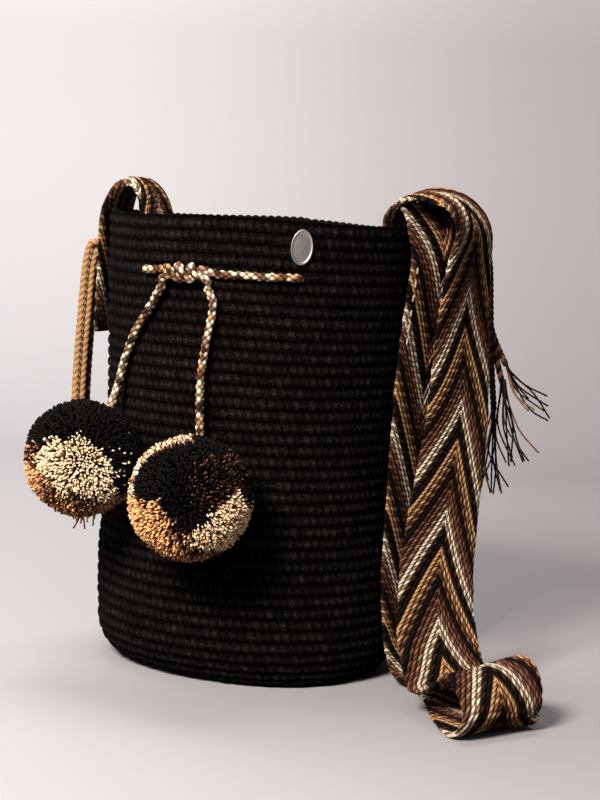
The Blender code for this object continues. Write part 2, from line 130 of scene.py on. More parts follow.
def smooth_path(points, step):
    """A Catmull-Rom curve through rows of numbers, in even steps along its first three columns.

    Between each two rows runs a cubic that leaves each of them along the line between its neighbours.
    """
    rows = np.asarray(points, float)
    ends = np.vstack([2 * rows[0] - rows[1], rows, 2 * rows[-1] - rows[-2]])
    t = np.linspace(0.0, 1.0, SPAN_SAMPLES, endpoint=False)[:, None]
    dense = []
    for a, b, c, d in zip(ends[:-3], ends[1:-2], ends[2:-1], ends[3:]):
        cubic = -a + 3 * b - 3 * c + d
        dense.append(b + 0.5 * t * ((c - a) + t * ((2 * a - 5 * b + 4 * c - d) + t * cubic)))
    dense = np.vstack(dense + [rows[-1:]])
    along = np.concatenate([[0.0], np.cumsum(np.linalg.norm(np.diff(dense[:, :3], axis=0), axis=1))])
    marks = np.linspace(0.0, along[-1], max(3, round(along[-1] / step) + 1))
    return np.stack([np.interp(marks, along, column) for column in dense.T], axis=1)


def path_length(points):
    """The sum of the distances between each point and the next."""
    return float(np.linalg.norm(np.diff(np.asarray(points)[:, :3], axis=0), axis=1).sum())


def mesh_from_arrays(name, points, faces, colours=None, uv=None, second=None):
    """An object from numpy points and equal-sided faces, with colours and a UV per point."""
    points = np.asarray(points, np.float32)
    faces = np.asarray(faces, np.int32)
    corners = faces.shape[1]
    mesh = bpy.data.meshes.new(name)
    mesh.vertices.add(len(points))
    mesh.vertices.foreach_set("co", points.ravel())
    mesh.loops.add(faces.size)
    mesh.loops.foreach_set("vertex_index", faces.ravel())
    mesh.polygons.add(len(faces))
    mesh.polygons.foreach_set("loop_start", np.arange(0, faces.size, corners, dtype=np.int32))
    mesh.polygons.foreach_set("use_smooth", np.ones(len(faces), bool))
    mesh.update(calc_edges=True)
    for layer_name, tints in (("yarn", colours), ("second_yarn", second)):
        if tints is not None:
            layer = mesh.color_attributes.new(layer_name, "FLOAT_COLOR", "POINT")
            full = np.concatenate([tints, np.ones((len(points), 1))], axis=1).astype(np.float32)
            layer.data.foreach_set("color", full.ravel())
    if uv is not None:
        layer = mesh.uv_layers.new(name="weave")
        layer.data.foreach_set("uv", np.asarray(uv, np.float32)[faces.ravel()].ravel())
    mesh.validate()
    obj = bpy.data.objects.new(name, mesh)
    bpy.context.scene.collection.objects.link(obj)
    return obj


def ring_faces(rows, ring, first=0):
    """Quads between rows of closed rings: each point, the next, and the two above them."""
    i, j = np.meshgrid(np.arange(rows - 1), np.arange(ring), indexing="ij")
    a = first + i * ring
    k = (j + 1) % ring
    return np.stack([a + j, a + k, a + ring + k, a + ring + j], axis=-1).reshape(-1, 4)


def strip_cap(first, ring):
    """A row of quads that closes one ring of points, each quad spanning from one side to the other."""
    j = np.arange(ring // 2 - 1)
    a, b = first + j, first + ring - 1 - j
    return np.stack([a, a + 1, b - 1, b], axis=1)


def path_frames(points):
    """Tangent and two sideways directions at each point: the last side, less its part along the tangent."""
    tangent = unit(np.gradient(points, axis=0))
    start = np.cross(tangent[0], UP if abs(tangent[0][2]) < 0.9 else np.array([1.0, 0.0, 0.0]))
    side = [start / np.linalg.norm(start)]
    for t in tangent[1:]:
        carried = side[-1] - t * np.dot(side[-1], t)
        side.append(carried / np.linalg.norm(carried))
    side = np.array(side)
    return tangent, side, np.cross(tangent, side)


def tube(points, sides, radius, taper=0.0):
    """Points and quads of a closed tube: radius is a function of distance along and angle.

    A point lies at the radius from the path, by the cosine of the angle to one side and by its sine to the
    other. Within the taper from an end the radius falls with the square root of the distance left.
    """
    tangent, side, other = path_frames(points)
    along = np.concatenate([[0.0], np.cumsum(np.linalg.norm(np.diff(points, axis=0), axis=1))])
    angle = 2 * np.pi * np.arange(sides) / sides
    s, phi = np.meshgrid(along, angle, indexing="ij")
    reach = radius(s, phi)
    if taper:
        left = np.minimum(s, along[-1] - s) / taper
        reach = reach * np.sqrt(np.clip(left, 0.02, 1.0))
    ring = points[:, None] + reach[..., None] * (
        np.cos(phi)[..., None] * side[:, None] + np.sin(phi)[..., None] * other[:, None]
    )
    rows = len(points)
    verts = np.vstack([ring.reshape(-1, 3), points[:1], points[-1:]])
    faces = ring_faces(rows, sides)
    j = np.arange(sides)
    k = (j + 1) % sides
    first = np.full(sides, rows * sides)
    last = (rows - 1) * sides
    cap_a = np.stack([k, j, first, first], axis=1)
    cap_b = np.stack([last + j, last + k, first + 1, first + 1], axis=1)
    return verts, faces, np.vstack([cap_a, cap_b]), s, phi


def tube_object(name, points, sides, radius, colour, taper=0.0):
    """A closed tube whose colour is a function of distance along and angle."""
    verts, faces, caps, s, phi = tube(points, sides, radius, taper)
    tints = colour(s, phi).reshape(-1, 3)
    tints = np.vstack([tints, tints[:1], tints[-1:]])
    return join_quads_and_triangles(name, verts, faces, caps[:, :3], tints)


def join_quads_and_triangles(name, points, quads, triangles, colours, uv=None):
    """One mesh from quads and triangles, all given as rows of point numbers."""
    split = np.vstack([quads[:, [0, 1, 2]], quads[:, [0, 2, 3]], triangles])
    return mesh_from_arrays(name, points, split, colours, uv)


def hashed(*numbers):
    """A value from 0 to 1 for whole numbers: the fraction of a large sine of their weighted sum."""
    mixed = sum(np.asarray(n, float) * k for n, k in zip(numbers, (12.9898, 78.233, 37.719)))
    return np.abs(np.sin(mixed) * 43758.5453) % 1.0


def pick(colours, share):
    """The colour at each share from 0 to 1 of a list, as one more axis."""
    table = np.array(colours)
    return table[np.clip((share * len(table)).astype(int), 0, len(table) - 1)]


class Shader:
    """A short way to add nodes to a material or a group."""

    def __init__(self, tree):
        self.tree = tree

    def node(self, kind, settings=None, **inputs):
        """A new node. An input named i and a number is found by that number, and any other by its name."""
        made = self.tree.nodes.new(kind)
        for key, value in (settings or {}).items():
            setattr(made, key, value)
        for key, value in inputs.items():
            numbered = key[0] == "i" and key[1:].isdigit()
            socket = made.inputs[int(key[1:]) if numbered else key.replace("_", " ")]
            if isinstance(value, bpy.types.NodeSocket):
                self.tree.links.new(value, socket)
            else:
                socket.default_value = value
        return made

    def maths(self, operation, *values):
        """The output of one sum on numbers or sockets."""
        inputs = {f"i{k}": value for k, value in enumerate(values)}
        return self.node("ShaderNodeMath", {"operation": operation}, **inputs).outputs["Value"]

    def blend(self, kind, factor, first, second):
        """The output of one mix of two colours."""
        settings = {"data_type": "RGBA", "blend_type": kind}
        return self.node("ShaderNodeMix", settings, i0=factor, i6=first, i7=second).outputs[2]

    def ranged(self, value, start, end, low, high):
        """The output that runs from low to high while the value runs from start to end."""
        limits = {"From_Min": start, "From_Max": end, "To_Min": low, "To_Max": high}
        return self.node("ShaderNodeMapRange", Value=value, **limits).outputs["Result"]


def yarn(name):
    """The colour that the settings give this yarn."""
    return np.array(getattr(bpy.context.scene.mochila, name))


def yarns(names):
    """The colours of several yarns, named in one line."""
    return [yarn(name) for name in names.split()]


def new_group(name, inputs, outputs):
    """A node group with named sockets: the group, a way to add nodes, its inputs and its outputs."""
    group = bpy.data.node_groups.new(name, "ShaderNodeTree")
    for way, sockets in (("INPUT", inputs), ("OUTPUT", outputs)):
        for label, kind in sockets:
            group.interface.new_socket(label, in_out=way, socket_type=f"NodeSocket{kind}")
    s = Shader(group)
    return group, s, s.node("NodeGroupInput").outputs, s.node("NodeGroupOutput").inputs


def yarn_group():
    """Fine noise, spread from dark to bright and times slow noise, darkens a colour and is its height."""
    found = bpy.data.node_groups.get("yarn_fuzz")
    if found:
        return found
    inputs = (("Color", "Color"), ("Scale", "Float"), ("Contrast", "Float"))
    group, s, entry, out = new_group("yarn_fuzz", inputs, (("Color", "Color"), ("Height", "Float")))
    place = s.node("ShaderNodeTexCoord").outputs["Object"]
    fine = {"Vector": place, "Scale": entry["Scale"], "Detail": 5.0, "Roughness": 0.7}
    fibres = s.node("ShaderNodeTexNoise", **fine).outputs["Fac"]
    broad = s.node("ShaderNodeTexNoise", Vector=place, Scale=38.0, Detail=2.0).outputs["Fac"]
    light = s.maths("MULTIPLY", s.ranged(fibres, 0.42, 0.62, 0.15, 3.2), s.ranged(broad, 0.3, 0.7, 0.8, 1.2))
    group.links.new(s.blend("MULTIPLY", entry["Contrast"], entry["Color"], light), out["Color"])
    group.links.new(fibres, out["Height"])
    return group


def plies_group():
    """Two plies laid round each other in every cordlet: which ply, how high, and the painted shade in its
    grooves.

    A running number along the cordlet, sheared across it, counts the plies. A power of its sine is the
    height along a ply, a power of the sine over the cordlet's width is the height across it, and every
    other ply is of the second yarn.
    """
    found = bpy.data.node_groups.get("cordlet_plies")
    if found:
        return found
    outputs = [(name, "Float") for name in ("Height", "Shade", "Ply")]
    group, s, entry, out = new_group("cordlet_plies", [("Place", "Vector")], outputs)
    split = s.node("ShaderNodeSeparateXYZ", Vector=entry["Place"]).outputs
    part = s.maths("FRACT", split["Y"])
    lay = s.maths("MULTIPLY", split["X"], 1 / PLY_PITCH_MM)
    lay_slope = s.maths("MULTIPLY", s.maths("SIGN", split["X"]), PLY_SHEAR_MM / PLY_PITCH_MM)
    lay_slope = s.maths("SUBTRACT", lay_slope, PLY_LAY_MM / PLY_PITCH_MM)
    phase = s.maths("MULTIPLY_ADD", part, lay_slope, lay)
    ply = s.maths("ABSOLUTE", s.maths("SINE", s.maths("MULTIPLY", phase, math.pi)))
    ply = s.maths("POWER", ply, 0.7)
    across = s.maths("POWER", s.maths("SINE", s.maths("MULTIPLY", part, math.pi)), 0.5)
    height = s.maths("MULTIPLY", across, s.maths("MULTIPLY_ADD", ply, 0.6, 0.4))
    which = s.maths("GREATER_THAN", s.maths("FRACT", s.maths("MULTIPLY", phase, 0.5)), 0.5)
    group.links.new(height, out["Height"])
    # The height stretched into painted shade in the grooves between plies and cordlets, with a faint painted
    # highlight on their crowns
    group.links.new(s.ranged(height, 0.2, 0.95, 0.10, 1.12), out["Shade"])
    group.links.new(which, out["Ply"])
    return group


def yarn_material(name, fuzz, contrast, bump=0.4, shine=0.06, colour=None, twist=False):
    """Matte yarn: one colour or the mesh's own yarn colours, with fibres in colour and bump."""
    material = bpy.data.materials.new(name)
    material.use_nodes = True
    tree = material.node_tree
    shader = tree.nodes["Principled BSDF"].inputs
    s = Shader(tree)
    if colour is None:
        source = s.node("ShaderNodeAttribute", {"attribute_name": "yarn"}).outputs["Color"]
    else:
        source = (*colour, 1.0)
    if twist:
        uv = s.node("ShaderNodeUVMap", {"uv_map": "weave"})
        plies = s.node("ShaderNodeGroup", {"node_tree": plies_group()}, Place=uv.outputs["UV"]).outputs
        other = s.node("ShaderNodeAttribute", {"attribute_name": "second_yarn"}).outputs["Color"]
        source = s.blend("MIX", plies["Ply"], source, other)
        # Painted shade from the plies' height darkens the colour in the grooves between plies and cordlets
        source = s.blend("MULTIPLY", 1.0, source, plies["Shade"])
    tree_of = {"node_tree": yarn_group()}
    fibres = s.node("ShaderNodeGroup", tree_of, Color=source, Scale=fuzz, Contrast=contrast).outputs
    height = fibres["Height"]
    if twist:
        height = s.maths("MULTIPLY_ADD", plies["Height"], 3.0, height)
    bumped = s.node("ShaderNodeBump", Strength=bump, Distance=0.0012, Height=height)
    tree.links.new(fibres["Color"], shader["Base Color"])
    tree.links.new(bumped.outputs["Normal"], shader["Normal"])
    shader["Roughness"].default_value = 0.9
    shader["Specular IOR Level"].default_value = shine
    shader["Sheen Weight"].default_value = 0.004
    shader["Sheen Roughness"].default_value = 0.5
    return material


def metal_material(colour):
    """Lightly worn nickel: fine noise makes its roughness and a faint bump."""
    material = bpy.data.materials.new("worn_nickel")
    material.use_nodes = True
    tree = material.node_tree
    shader = tree.nodes["Principled BSDF"].inputs
    s = Shader(tree)
    place = s.node("ShaderNodeTexCoord").outputs["Object"]
    marks = s.node("ShaderNodeTexNoise", Vector=place, Scale=700.0, Detail=3.0).outputs["Fac"]
    bumped = s.node("ShaderNodeBump", Strength=0.25, Distance=0.0004, Height=marks)
    tree.links.new(s.ranged(marks, 0.0, 1.0, 0.36, 0.62), shader["Roughness"])
    tree.links.new(bumped.outputs["Normal"], shader["Normal"])
    shader["Base Color"].default_value = (*colour, 1.0)
    shader["Metallic"].default_value = 1.0
    return material


def finish_piece(obj, material, body, nodes):
    """Gives a piece its material and its body, and hides the CAD nodes it stands for."""
    obj.data.materials.append(material)
    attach(obj, body)
    if nodes:
        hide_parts(*nodes)
    return obj


def waisted(radius, z):
    """The wall's radius at a height, less the waist's depth times a squared half sine over the height."""
    return radius - WAIST_IN * np.sin(np.pi * z / BAG_HEIGHT) ** 2


def eased(share):
    """A smooth step from 0 to 1: three times the share's square less twice its cube."""
    share = np.clip(share, 0, 1)
    return share * share * (3 - 2 * share)


def bell(value, middle, width):
    """1 at the middle, and e to minus the squared distance from it in widths."""
    return np.exp(-(((value - middle) / width) ** 2))


def softened(points):
    """The soft body's own lean and sag, as bells of the angle in degrees times steps of the height.

    The corner is full and swollen at the right front and slack at the left. The wall has a dent, low
    folds and puckers at one hole. The rim dips at the back and waves.
    """
    x, y, z = points[..., 0], points[..., 1], points[..., 2]
    turn = np.degrees(np.arctan2(x, -y))
    radius = np.hypot(x, y)
    rim = np.clip((z - 0.2) / 0.128, 0, 1)
    corner = CORNER_RADIUS - np.clip(z, 0, CORNER_RADIUS)
    profile = BAG_RADIUS - CORNER_RADIUS + np.sqrt(np.maximum(CORNER_RADIUS**2 - corner**2, 0))
    full = 1 + 0.85 * bell(turn, 42, 46) * (BAG_RADIUS / profile - 1)
    swell = 0.0085 * bell(turn, 45, 42) * eased(1 - z / 0.15)
    slack = -0.0075 * bell(turn, -98, 42) * eased(1 - z / 0.085)
    dent = -0.0024 * bell(turn, 9, 7) * bell(z, 0.2, 0.06)
    folds = 0.0009 * np.sin(np.radians(turn * 5 + 40) + z * 22) * np.clip(z / 0.05, 0, 1)
    pucker = 0.0010 * np.sin(np.radians((turn - EYELET_ANGLE) * 22)) * bell(turn, EYELET_ANGLE, 13)
    pucker = pucker * bell(z, EYELET_Z, 0.03)
    out = (swell + slack + dent + folds + pucker) * np.clip(radius / BAG_RADIUS, 0, 1) ** 4
    dip = -0.0030 * bell(turn, 125, 50) * rim
    wave = 0.0009 * np.sin(np.radians(turn * 4 + 70)) * rim
    scale = full * (1 + out / np.maximum(radius, 1e-6))
    return np.stack([x * scale, y * scale, z + dip + wave], axis=-1)


def crochet_surface(settings):
    """Rows of single crochet, on a grid of the way up the profile and the angle round the bag.

    The profile is a quarter circle and then the waisted wall. A row stands out by a power of a half sine
    over its height. A stitch stands out by the cosine of its running number, which leans with the height,
    moves by half a stitch in every other row and varies by a hash. Both waves also give the painted light:
    a painted highlight on the row tops and stitches and painted shade in the valleys between rows, times
    a random tone for each stitch.
    """
    flat = BAG_RADIUS - CORNER_RADIUS
    arc = CORNER_RADIUS * math.pi / 2
    length = arc + BAG_HEIGHT - CORNER_RADIUS
    rows = round(length / settings.row_pitch)
    s = np.linspace(0.0, length, rows * STITCH_STEPS + 1)
    turn = np.clip(s / CORNER_RADIUS, 0, math.pi / 2)
    wall = waisted(BAG_RADIUS, np.maximum(s - arc, 0) + CORNER_RADIUS)
    base = np.where(s < arc, flat + CORNER_RADIUS * np.sin(turn), wall)
    height = np.where(s < arc, CORNER_RADIUS * (1 - np.cos(turn)), CORNER_RADIUS + s - arc)
    row_at = s / length * rows
    around_steps = settings.stitches * STITCH_STEPS
    phi = 2 * np.pi * np.arange(around_steps) / around_steps
    part, grid_phi = np.meshgrid(row_at % 1.0, phi, indexing="ij")
    row = np.floor(row_at)[:, None] + 0 * grid_phi
    stitch = grid_phi / (2 * np.pi) * settings.stitches + 0.5 * (row % 2) + 0.3 * hashed(row)
    wobble = hashed(np.floor(stitch), row)
    ridge = np.sin(np.pi * np.clip(part, 0, 1)) ** 0.55
    leaf = 0.5 + 0.5 * np.cos(2 * np.pi * (stitch + 0.45 * part))
    sunk = settings.row_depth * (1 - ridge) + 0.0009 * (1 - leaf) * (0.3 + 0.7 * wobble) + 0.0007 * wobble
    sunk = np.where((s < 1e-6)[:, None], 0.0, sunk)
    out_z = -np.cos(turn)[:, None] * (s < arc)[:, None]
    radius = base[:, None] - sunk * np.sin(turn)[:, None]
    z = height[:, None] - sunk * out_z
    z = z + 0.0006 * (hashed(np.floor(stitch), 3.0) - 0.5) * (height > 0.3)[:, None]
    # Painted light: painted highlight on the row tops and stitches, painted shade in the valleys, times a
    # random tone per stitch
    lit = (0.02 + 1.7 * ridge**4) * (0.34 + 0.9 * leaf) * (0.6 + 0.8 * wobble)
    return radius, z, phi, lit


def make_body(settings):
    """The crochet from the middle of the base up the wall, over the rim and down the smooth inside.

    Each ring has a radius and a height at every angle, and is softened. A point lies at the radius times
    the angle's cosine and sine. The rim's loops rise by a power of a sine, one to each stitch.
    """
    radius, z, phi, lit = crochet_surface(settings)
    steps = len(phi)
    top = float(z[-1].mean())
    flat = BAG_RADIUS - CORNER_RADIUS
    under = [(0.003, 0.0), (flat * 0.55, 0.0), (flat * 0.95, 0.0)]
    inner = [(BAG_RADIUS - WALL * 0.35, top + 0.0009), (BAG_RADIUS - WALL * 0.75, top + 0.0006)]
    for share in (1.0, 0.86, 0.72, 0.5, 0.3, CORNER_RADIUS / BAG_HEIGHT):
        wall = float(waisted(BAG_RADIUS - WALL, share * BAG_HEIGHT))
        inner.append((wall, share * top - 0.0012 * (share == 1.0)))
    inner.append((flat + (CORNER_RADIUS - WALL) * 0.87, WALL + (CORNER_RADIUS - WALL) * 0.5))
    inner += [(flat, WALL), (0.004, WALL)]
    before, after = np.array(under), np.array(inner)
    level = np.ones(steps)
    radii = np.vstack([before[:, :1] * level, radius, after[:, :1] * level])
    heights = np.vstack([before[:, 1:] * level, z, after[:, 1:] * level])
    last_row = len(under) + len(radius) - 1
    loops = np.abs(np.sin(phi * settings.stitches / 2)) ** 0.7
    heights[last_row : last_row + 3] += 0.0012 * loops
    points = np.stack([radii * np.cos(phi), radii * np.sin(phi), heights], axis=-1)
    count = len(radii)
    verts = np.vstack([softened(points).reshape(-1, 3), [[0.0, 0.0, 0.0], [0.0, 0.0, WALL]]])
    # Painted light on the body's colour: the smooth parts dimmed evenly, the crochet rows with their painted
    # highlights and shade, the rim's loops with a painted highlight on their tops and painted shade between
    # them
    light = np.full((count, steps), PLAIN_LIGHT)
    light[len(under) : last_row + 1] = lit
    light[last_row + 1 : last_row + 3] = 0.15 + 1.2 * loops**2
    light = np.append(light.ravel(), [PLAIN_LIGHT, PLAIN_LIGHT])
    j = np.arange(steps)
    k = (j + 1) % steps
    last = (count - 1) * steps
    bottom = np.stack([k, j, np.full(steps, count * steps)], axis=1)
    floor = np.stack([last + j, last + k, np.full(steps, count * steps + 1)], axis=1)
    caps = np.vstack([bottom, floor])
    tints = light[:, None] * yarn("body_black")
    return join_quads_and_triangles("crochet_body", verts, ring_faces(count, steps), caps, tints)


def knot_exit_points(direction):
    """Two points where the knot ends at one side: beside it and below, and a little closer in."""
    base = around(KNOT_ANGLE, KNOT_RADIUS, EYELET_Z - KNOT_HELIX)
    along = tangent_at(KNOT_ANGLE) * direction
    outward = around(KNOT_ANGLE, 1.0, 0.0)
    return [
        base + along * (KNOT_HALF_LENGTH + 0.0042) + outward * -0.0010 + np.array([0, 0, -0.0042]),
        base + along * (KNOT_HALF_LENGTH + 0.0030) + outward * -0.0006 + np.array([0, 0, -0.0016]),
    ]


def knot_strand(direction):
    """Half of the half knot, from the end that hangs to the end that runs to a hole.

    A helix round a level line: up by the cosine and out by the sine of the turn, and looser midway.
    """
    points = []
    for mark in np.linspace(1.0, -1.0, 25):
        turn = math.pi * KNOT_HALF_TURNS * (mark + 1) / 2
        loose = 1 - mark**2
        up = KNOT_HELIX * math.cos(turn) * (1 + 0.75 * loose)
        out = KNOT_HELIX * math.sin(turn) * direction
        out = out * (1 + 0.5 * loose) if out > 0 else out
        place = around(KNOT_ANGLE, KNOT_RADIUS + out, EYELET_Z + up)
        points.append(place + tangent_at(KNOT_ANGLE) * direction * mark * KNOT_HALF_LENGTH)
    return points


def through_wall(angle, way):
    """Five points through a hole at this angle: along the outside, slanting in, and along the inside."""
    tilt = math.degrees(0.0052 / BAG_RADIUS)
    middle = (CORD_OUTSIDE + CORD_INSIDE) / 2
    ends = [(-1.8, CORD_OUTSIDE), (-1.0, CORD_OUTSIDE), (0.0, middle), (1.0, CORD_INSIDE), (1.8, CORD_INSIDE)]
    return [around(angle + way * t * tilt, r, EYELET_Z) for t, r in ends]


def arc_between(start, end, radius, count):
    """Level points at one radius, at even steps of angle."""
    return [around(a, radius, EYELET_Z) for a in np.linspace(start, end, count)]


def drawstring_route():
    """From the tail at the right of the knot, all round the bag, to the tail at its left."""
    hole = EYELET_ANGLE
    skip = math.degrees(1.8 * 0.0052 / BAG_RADIUS) + 2.0
    knot_edge = math.degrees(KNOT_HALF_LENGTH / BAG_RADIUS)
    left_end = KNOT_ANGLE - knot_edge
    right_end = KNOT_ANGLE + knot_edge
    lower = UP * -0.0022
    points = [knot_exit_points(1)[0] + lower] + knot_exit_points(1) + knot_strand(1)
    points += [around(left_end - 1.6, CORD_OUTSIDE + 0.0012, EYELET_Z + 0.0014)]
    points += through_wall(-hole, -1)
    points += arc_between(-hole - skip, -180 + hole + skip, CORD_INSIDE, 14)
    points += through_wall(-180 + hole, 1)[::-1]
    points += arc_between(-180 + hole - skip, -180 - hole + skip, CORD_OUTSIDE, 9)
    points += through_wall(-180 - hole, -1)
    points += arc_between(-180 - hole - skip, -360 + hole + skip, CORD_INSIDE, 14)
    points += through_wall(-360 + hole, 1)[::-1]
    points += arc_between(-360 + hole - skip, -360 + right_end + 5.0, CORD_OUTSIDE, 5)
    points += [around(right_end + 1.6, CORD_OUTSIDE + 0.0012, EYELET_Z + 0.0014)]
    return points + knot_strand(-1)[::-1] + knot_exit_points(-1)[::-1] + [knot_exit_points(-1)[0] + lower]


def tail_route(direction):
    """The same stops as the CAD tail, from the middle of one round end to the other's."""
    lean = math.sin(POMPOM_LEAN)
    reach = POMPOM_RADIUS * (1 - lean) - CORD_RADIUS * (1 + lean) + 0.0008
    if direction > 0:
        stops = [(0.5, 0.0012, 0.022), (-1.2, 0.001, 0.045), (-2.6, 0.001, 0.070)]
        stops += [(-2.2, 0.003, 0.096), (RIGHT_POMPOM_ANGLE, reach, 0.1180)]
    else:
        stops = [(-25.0, 0.0012, 0.028), (-31.0, 0.001, 0.044), (-36.0, 0.0015, 0.064)]
        stops += [(-38.0, 0.004, 0.084), (LEFT_POMPOM_ANGLE, reach, 0.1020)]
    points = [knot_exit_points(direction)[0] + np.array([0.0, 0.0, -KNOT_JOINT_DROP])]
    points += [around(angle, CORD_OUTSIDE + out, EYELET_Z - drop) for angle, out, drop in stops]
    return smooth_path(points, 0.0006)


def with_round_ends(points):
    """The path made longer by the cord's radius at both ends."""
    first = unit(points[0] - points[1]) * CORD_RADIUS
    last = unit(points[-1] - points[-2]) * CORD_RADIUS
    shares = (0.33, 0.66, 1.0)
    head = [points[0] + first * share for share in shares[::-1]]
    return np.vstack([head, points, [points[-1] + last * share for share in shares]])


def leaf_numbers(s, phi):
    """Running numbers of two crossing families of stitches: pitches along, plus and minus three turns."""
    return s / BRAID_PITCH + 3 * phi / (2 * np.pi), s / BRAID_PITCH - 3 * phi / (2 * np.pi)


def leaf_crest(s, phi):
    """1 at the middle of each stitch and 0 in the gaps: the product of both numbers' cosines, unsigned."""
    a, b = leaf_numbers(s, phi)
    return np.abs(np.cos(np.pi * a)) * np.abs(np.cos(np.pi * b))


def braid_radius(s, phi):
    """The cord's radius, larger by a power of the crest where the leaf-shaped stitches stand out."""
    return CORD_RADIUS * (0.96 + 0.40 * leaf_crest(s, phi) ** 0.7)


def braid_colour(s, phi):
    """One yarn for each stitch, hashed from its two numbers, with painted shade in the gaps where the crest is
    low and a faint painted highlight on the crests.
    """
    a, b = leaf_numbers(s, phi)
    along = np.round(a) + np.round(b)
    share = hashed(along, (np.round(a) - np.round(b)) % 6)
    shades = pick(yarns("cream light_brown cream brown cream maroon tan cream dark_brown"), share)
    # Painted shade in the gaps between stitches, a faint painted highlight on their crests
    return shades * (0.08 + 1.05 * np.clip(leaf_crest(s, phi) * 1.8 - 0.05, 0, 1))[..., None]


def braided(name, points, body, nodes):
    """A braided cord along these points, given its material and its body, with its CAD nodes hidden."""
    obj = tube_object(name, points, 18, braid_radius, braid_colour, taper=0.0023)
    finish_piece(obj, MATERIALS["yarn"], body, nodes)
    return obj


def strap_stations():
    """Stops along the strap: its middle, the direction of its width and the share of its full width."""
    wall = STRAP_ON_WALL
    top = BAG_HEIGHT
    left_end = [
        (-wall, 0.0, top - 0.090, 0.0, 1.0, 0.0, 1.0),
        (-wall, 0.0, top - 0.045, 0.0, 1.0, 0.0, 1.0),
        (-wall - 0.0006, 0.0, top - 0.006, 0.0, 1.0, 0.0, 0.92),
        (-wall + 0.003, 0.001, top + 0.012, 0.0, 1.0, 0.0, 0.78),
        (-wall + 0.009, 0.002, top + 0.0215, 0.0, 1.0, 0.0, 0.64),
        (-wall + 0.018, 0.002, top + 0.0225, 0.05, 1.0, 0.0, 0.60),
        (-wall + 0.027, 0.003, top + 0.012, 0.10, 1.0, 0.0, 0.66),
        (-wall + 0.034, 0.004, top - 0.008, 0.10, 1.0, 0.0, 0.80),
    ]
    inside = [
        (-0.066, 0.012, top - 0.040, 0.0, 1.0, 0.0, 0.95),
        (-0.045, 0.026, top - 0.072, 0.0, 1.0, 0.0, 1.0),
        (-0.005, 0.034, top - 0.088, 0.0, 1.0, 0.0, 1.0),
        (0.040, 0.026, top - 0.072, 0.0, 1.0, 0.0, 1.0),
        (0.082, 0.010, top - 0.040, 0.0, 1.0, 0.0, 1.0),
    ]
    right_arch = [
        (0.0965, 0.001, top - 0.008, 0.0, 1.0, 0.0, 1.0),
        (0.1005, 0.000, top + 0.011, 0.0, 1.0, 0.05, 1.0),
        (0.1120, 0.000, top + 0.0230, 0.0, 1.0, 0.10, 1.0),
        (0.1300, 0.000, top + 0.0245, 0.0, 1.0, 0.12, 1.0),
        (0.147, 0.001, top + 0.018, 0.05, 1.0, 0.10, 1.0),
        (0.1570, 0.002, top + 0.001, 0.16, 0.98, 0.05, 1.0),
        (0.1550, 0.004, top - 0.026, 0.26, 0.97, 0.0, 1.0),
    ]
    front_layer = [
        (0.1530, 0.003, 0.260, 0.34, 0.94, 0.0, 1.0),
        (0.1545, -0.001, 0.220, 0.42, 0.91, 0.0, 1.0),
        (0.1555, -0.009, 0.186, 0.46, 0.89, 0.0, 1.0),
        (0.1555, -0.023, 0.152, 0.48, 0.88, 0.0, 1.0),
        (0.1555, -0.039, 0.119, 0.50, 0.87, 0.0, 1.0),
        (0.1575, -0.058, 0.087, 0.53, 0.85, 0.0, 1.0),
        (0.1620, -0.074, 0.060, 0.57, 0.82, 0.0, 1.0),
        (0.1690, -0.088, 0.036, 0.62, 0.78, 0.03, 1.0),
    ]
    floor_curl = [
        (0.1800, -0.1000, 0.0190, 0.62, 0.78, 0.06, 1.0),
        (0.1940, -0.1150, 0.0270, 0.60, 0.78, 0.08, 1.0),
        (0.2070, -0.1310, 0.0380, 0.58, 0.77, 0.12, 1.0),
        (0.2180, -0.1460, 0.0350, 0.57, 0.78, 0.12, 1.0),
        (0.2260, -0.1570, 0.0190, 0.57, 0.80, 0.06, 1.0),
        (0.2200, -0.1520, 0.0052, 0.60, 0.79, 0.02, 1.0),
        (0.2040, -0.1250, 0.0030, 0.68, 0.73, 0.0, 0.92),
        (0.1880, -0.0890, 0.0030, 0.80, 0.60, 0.0, 0.80),
        (0.1670, -0.0510, 0.0032, 0.75, 0.66, 0.0, 0.76),
        (0.1420, -0.0250, 0.0075, 0.35, 0.93, 0.0, 0.84),
    ]
    rear_layer = [
        (0.1270, -0.0150, 0.0260, 0.20, 0.98, 0.0, 0.95),
        (0.1255, -0.0110, 0.0550, 0.30, 0.95, 0.0, 1.0),
        (0.1250, -0.0080, 0.1000, 0.34, 0.94, 0.0, 1.0),
        (0.1250, -0.0040, 0.1600, 0.34, 0.94, 0.0, 1.0),
        (0.1262, 0.0000, 0.2200, 0.36, 0.93, 0.0, 1.0),
        (0.1310, 0.0020, 0.2700, 0.42, 0.91, 0.0, 1.0),
        (0.1350, 0.0020, 0.3050, 0.46, 0.89, 0.0, 1.0),
        (0.1315, 0.0030, 0.3300, 0.50, 0.87, 0.0, 1.0),
        (0.1215, 0.0040, 0.3485, 0.44, 0.90, 0.0, 1.0),
    ]
    return left_end + inside + right_arch + front_layer + floor_curl + rear_layer


# The two plies of each cordlet, in the order in which the chevrons follow each other down the front
STRAP_ORDER = (
    "cream cream",
    "cream light_brown",
    "black dark_brown",
    "black soft_black",
    "tan tan",
    "tan brown",
    "brown dark_brown",
    "black soft_black",
    "maroon dark_brown",
    "brown maroon",
    "maroon light_brown",
)


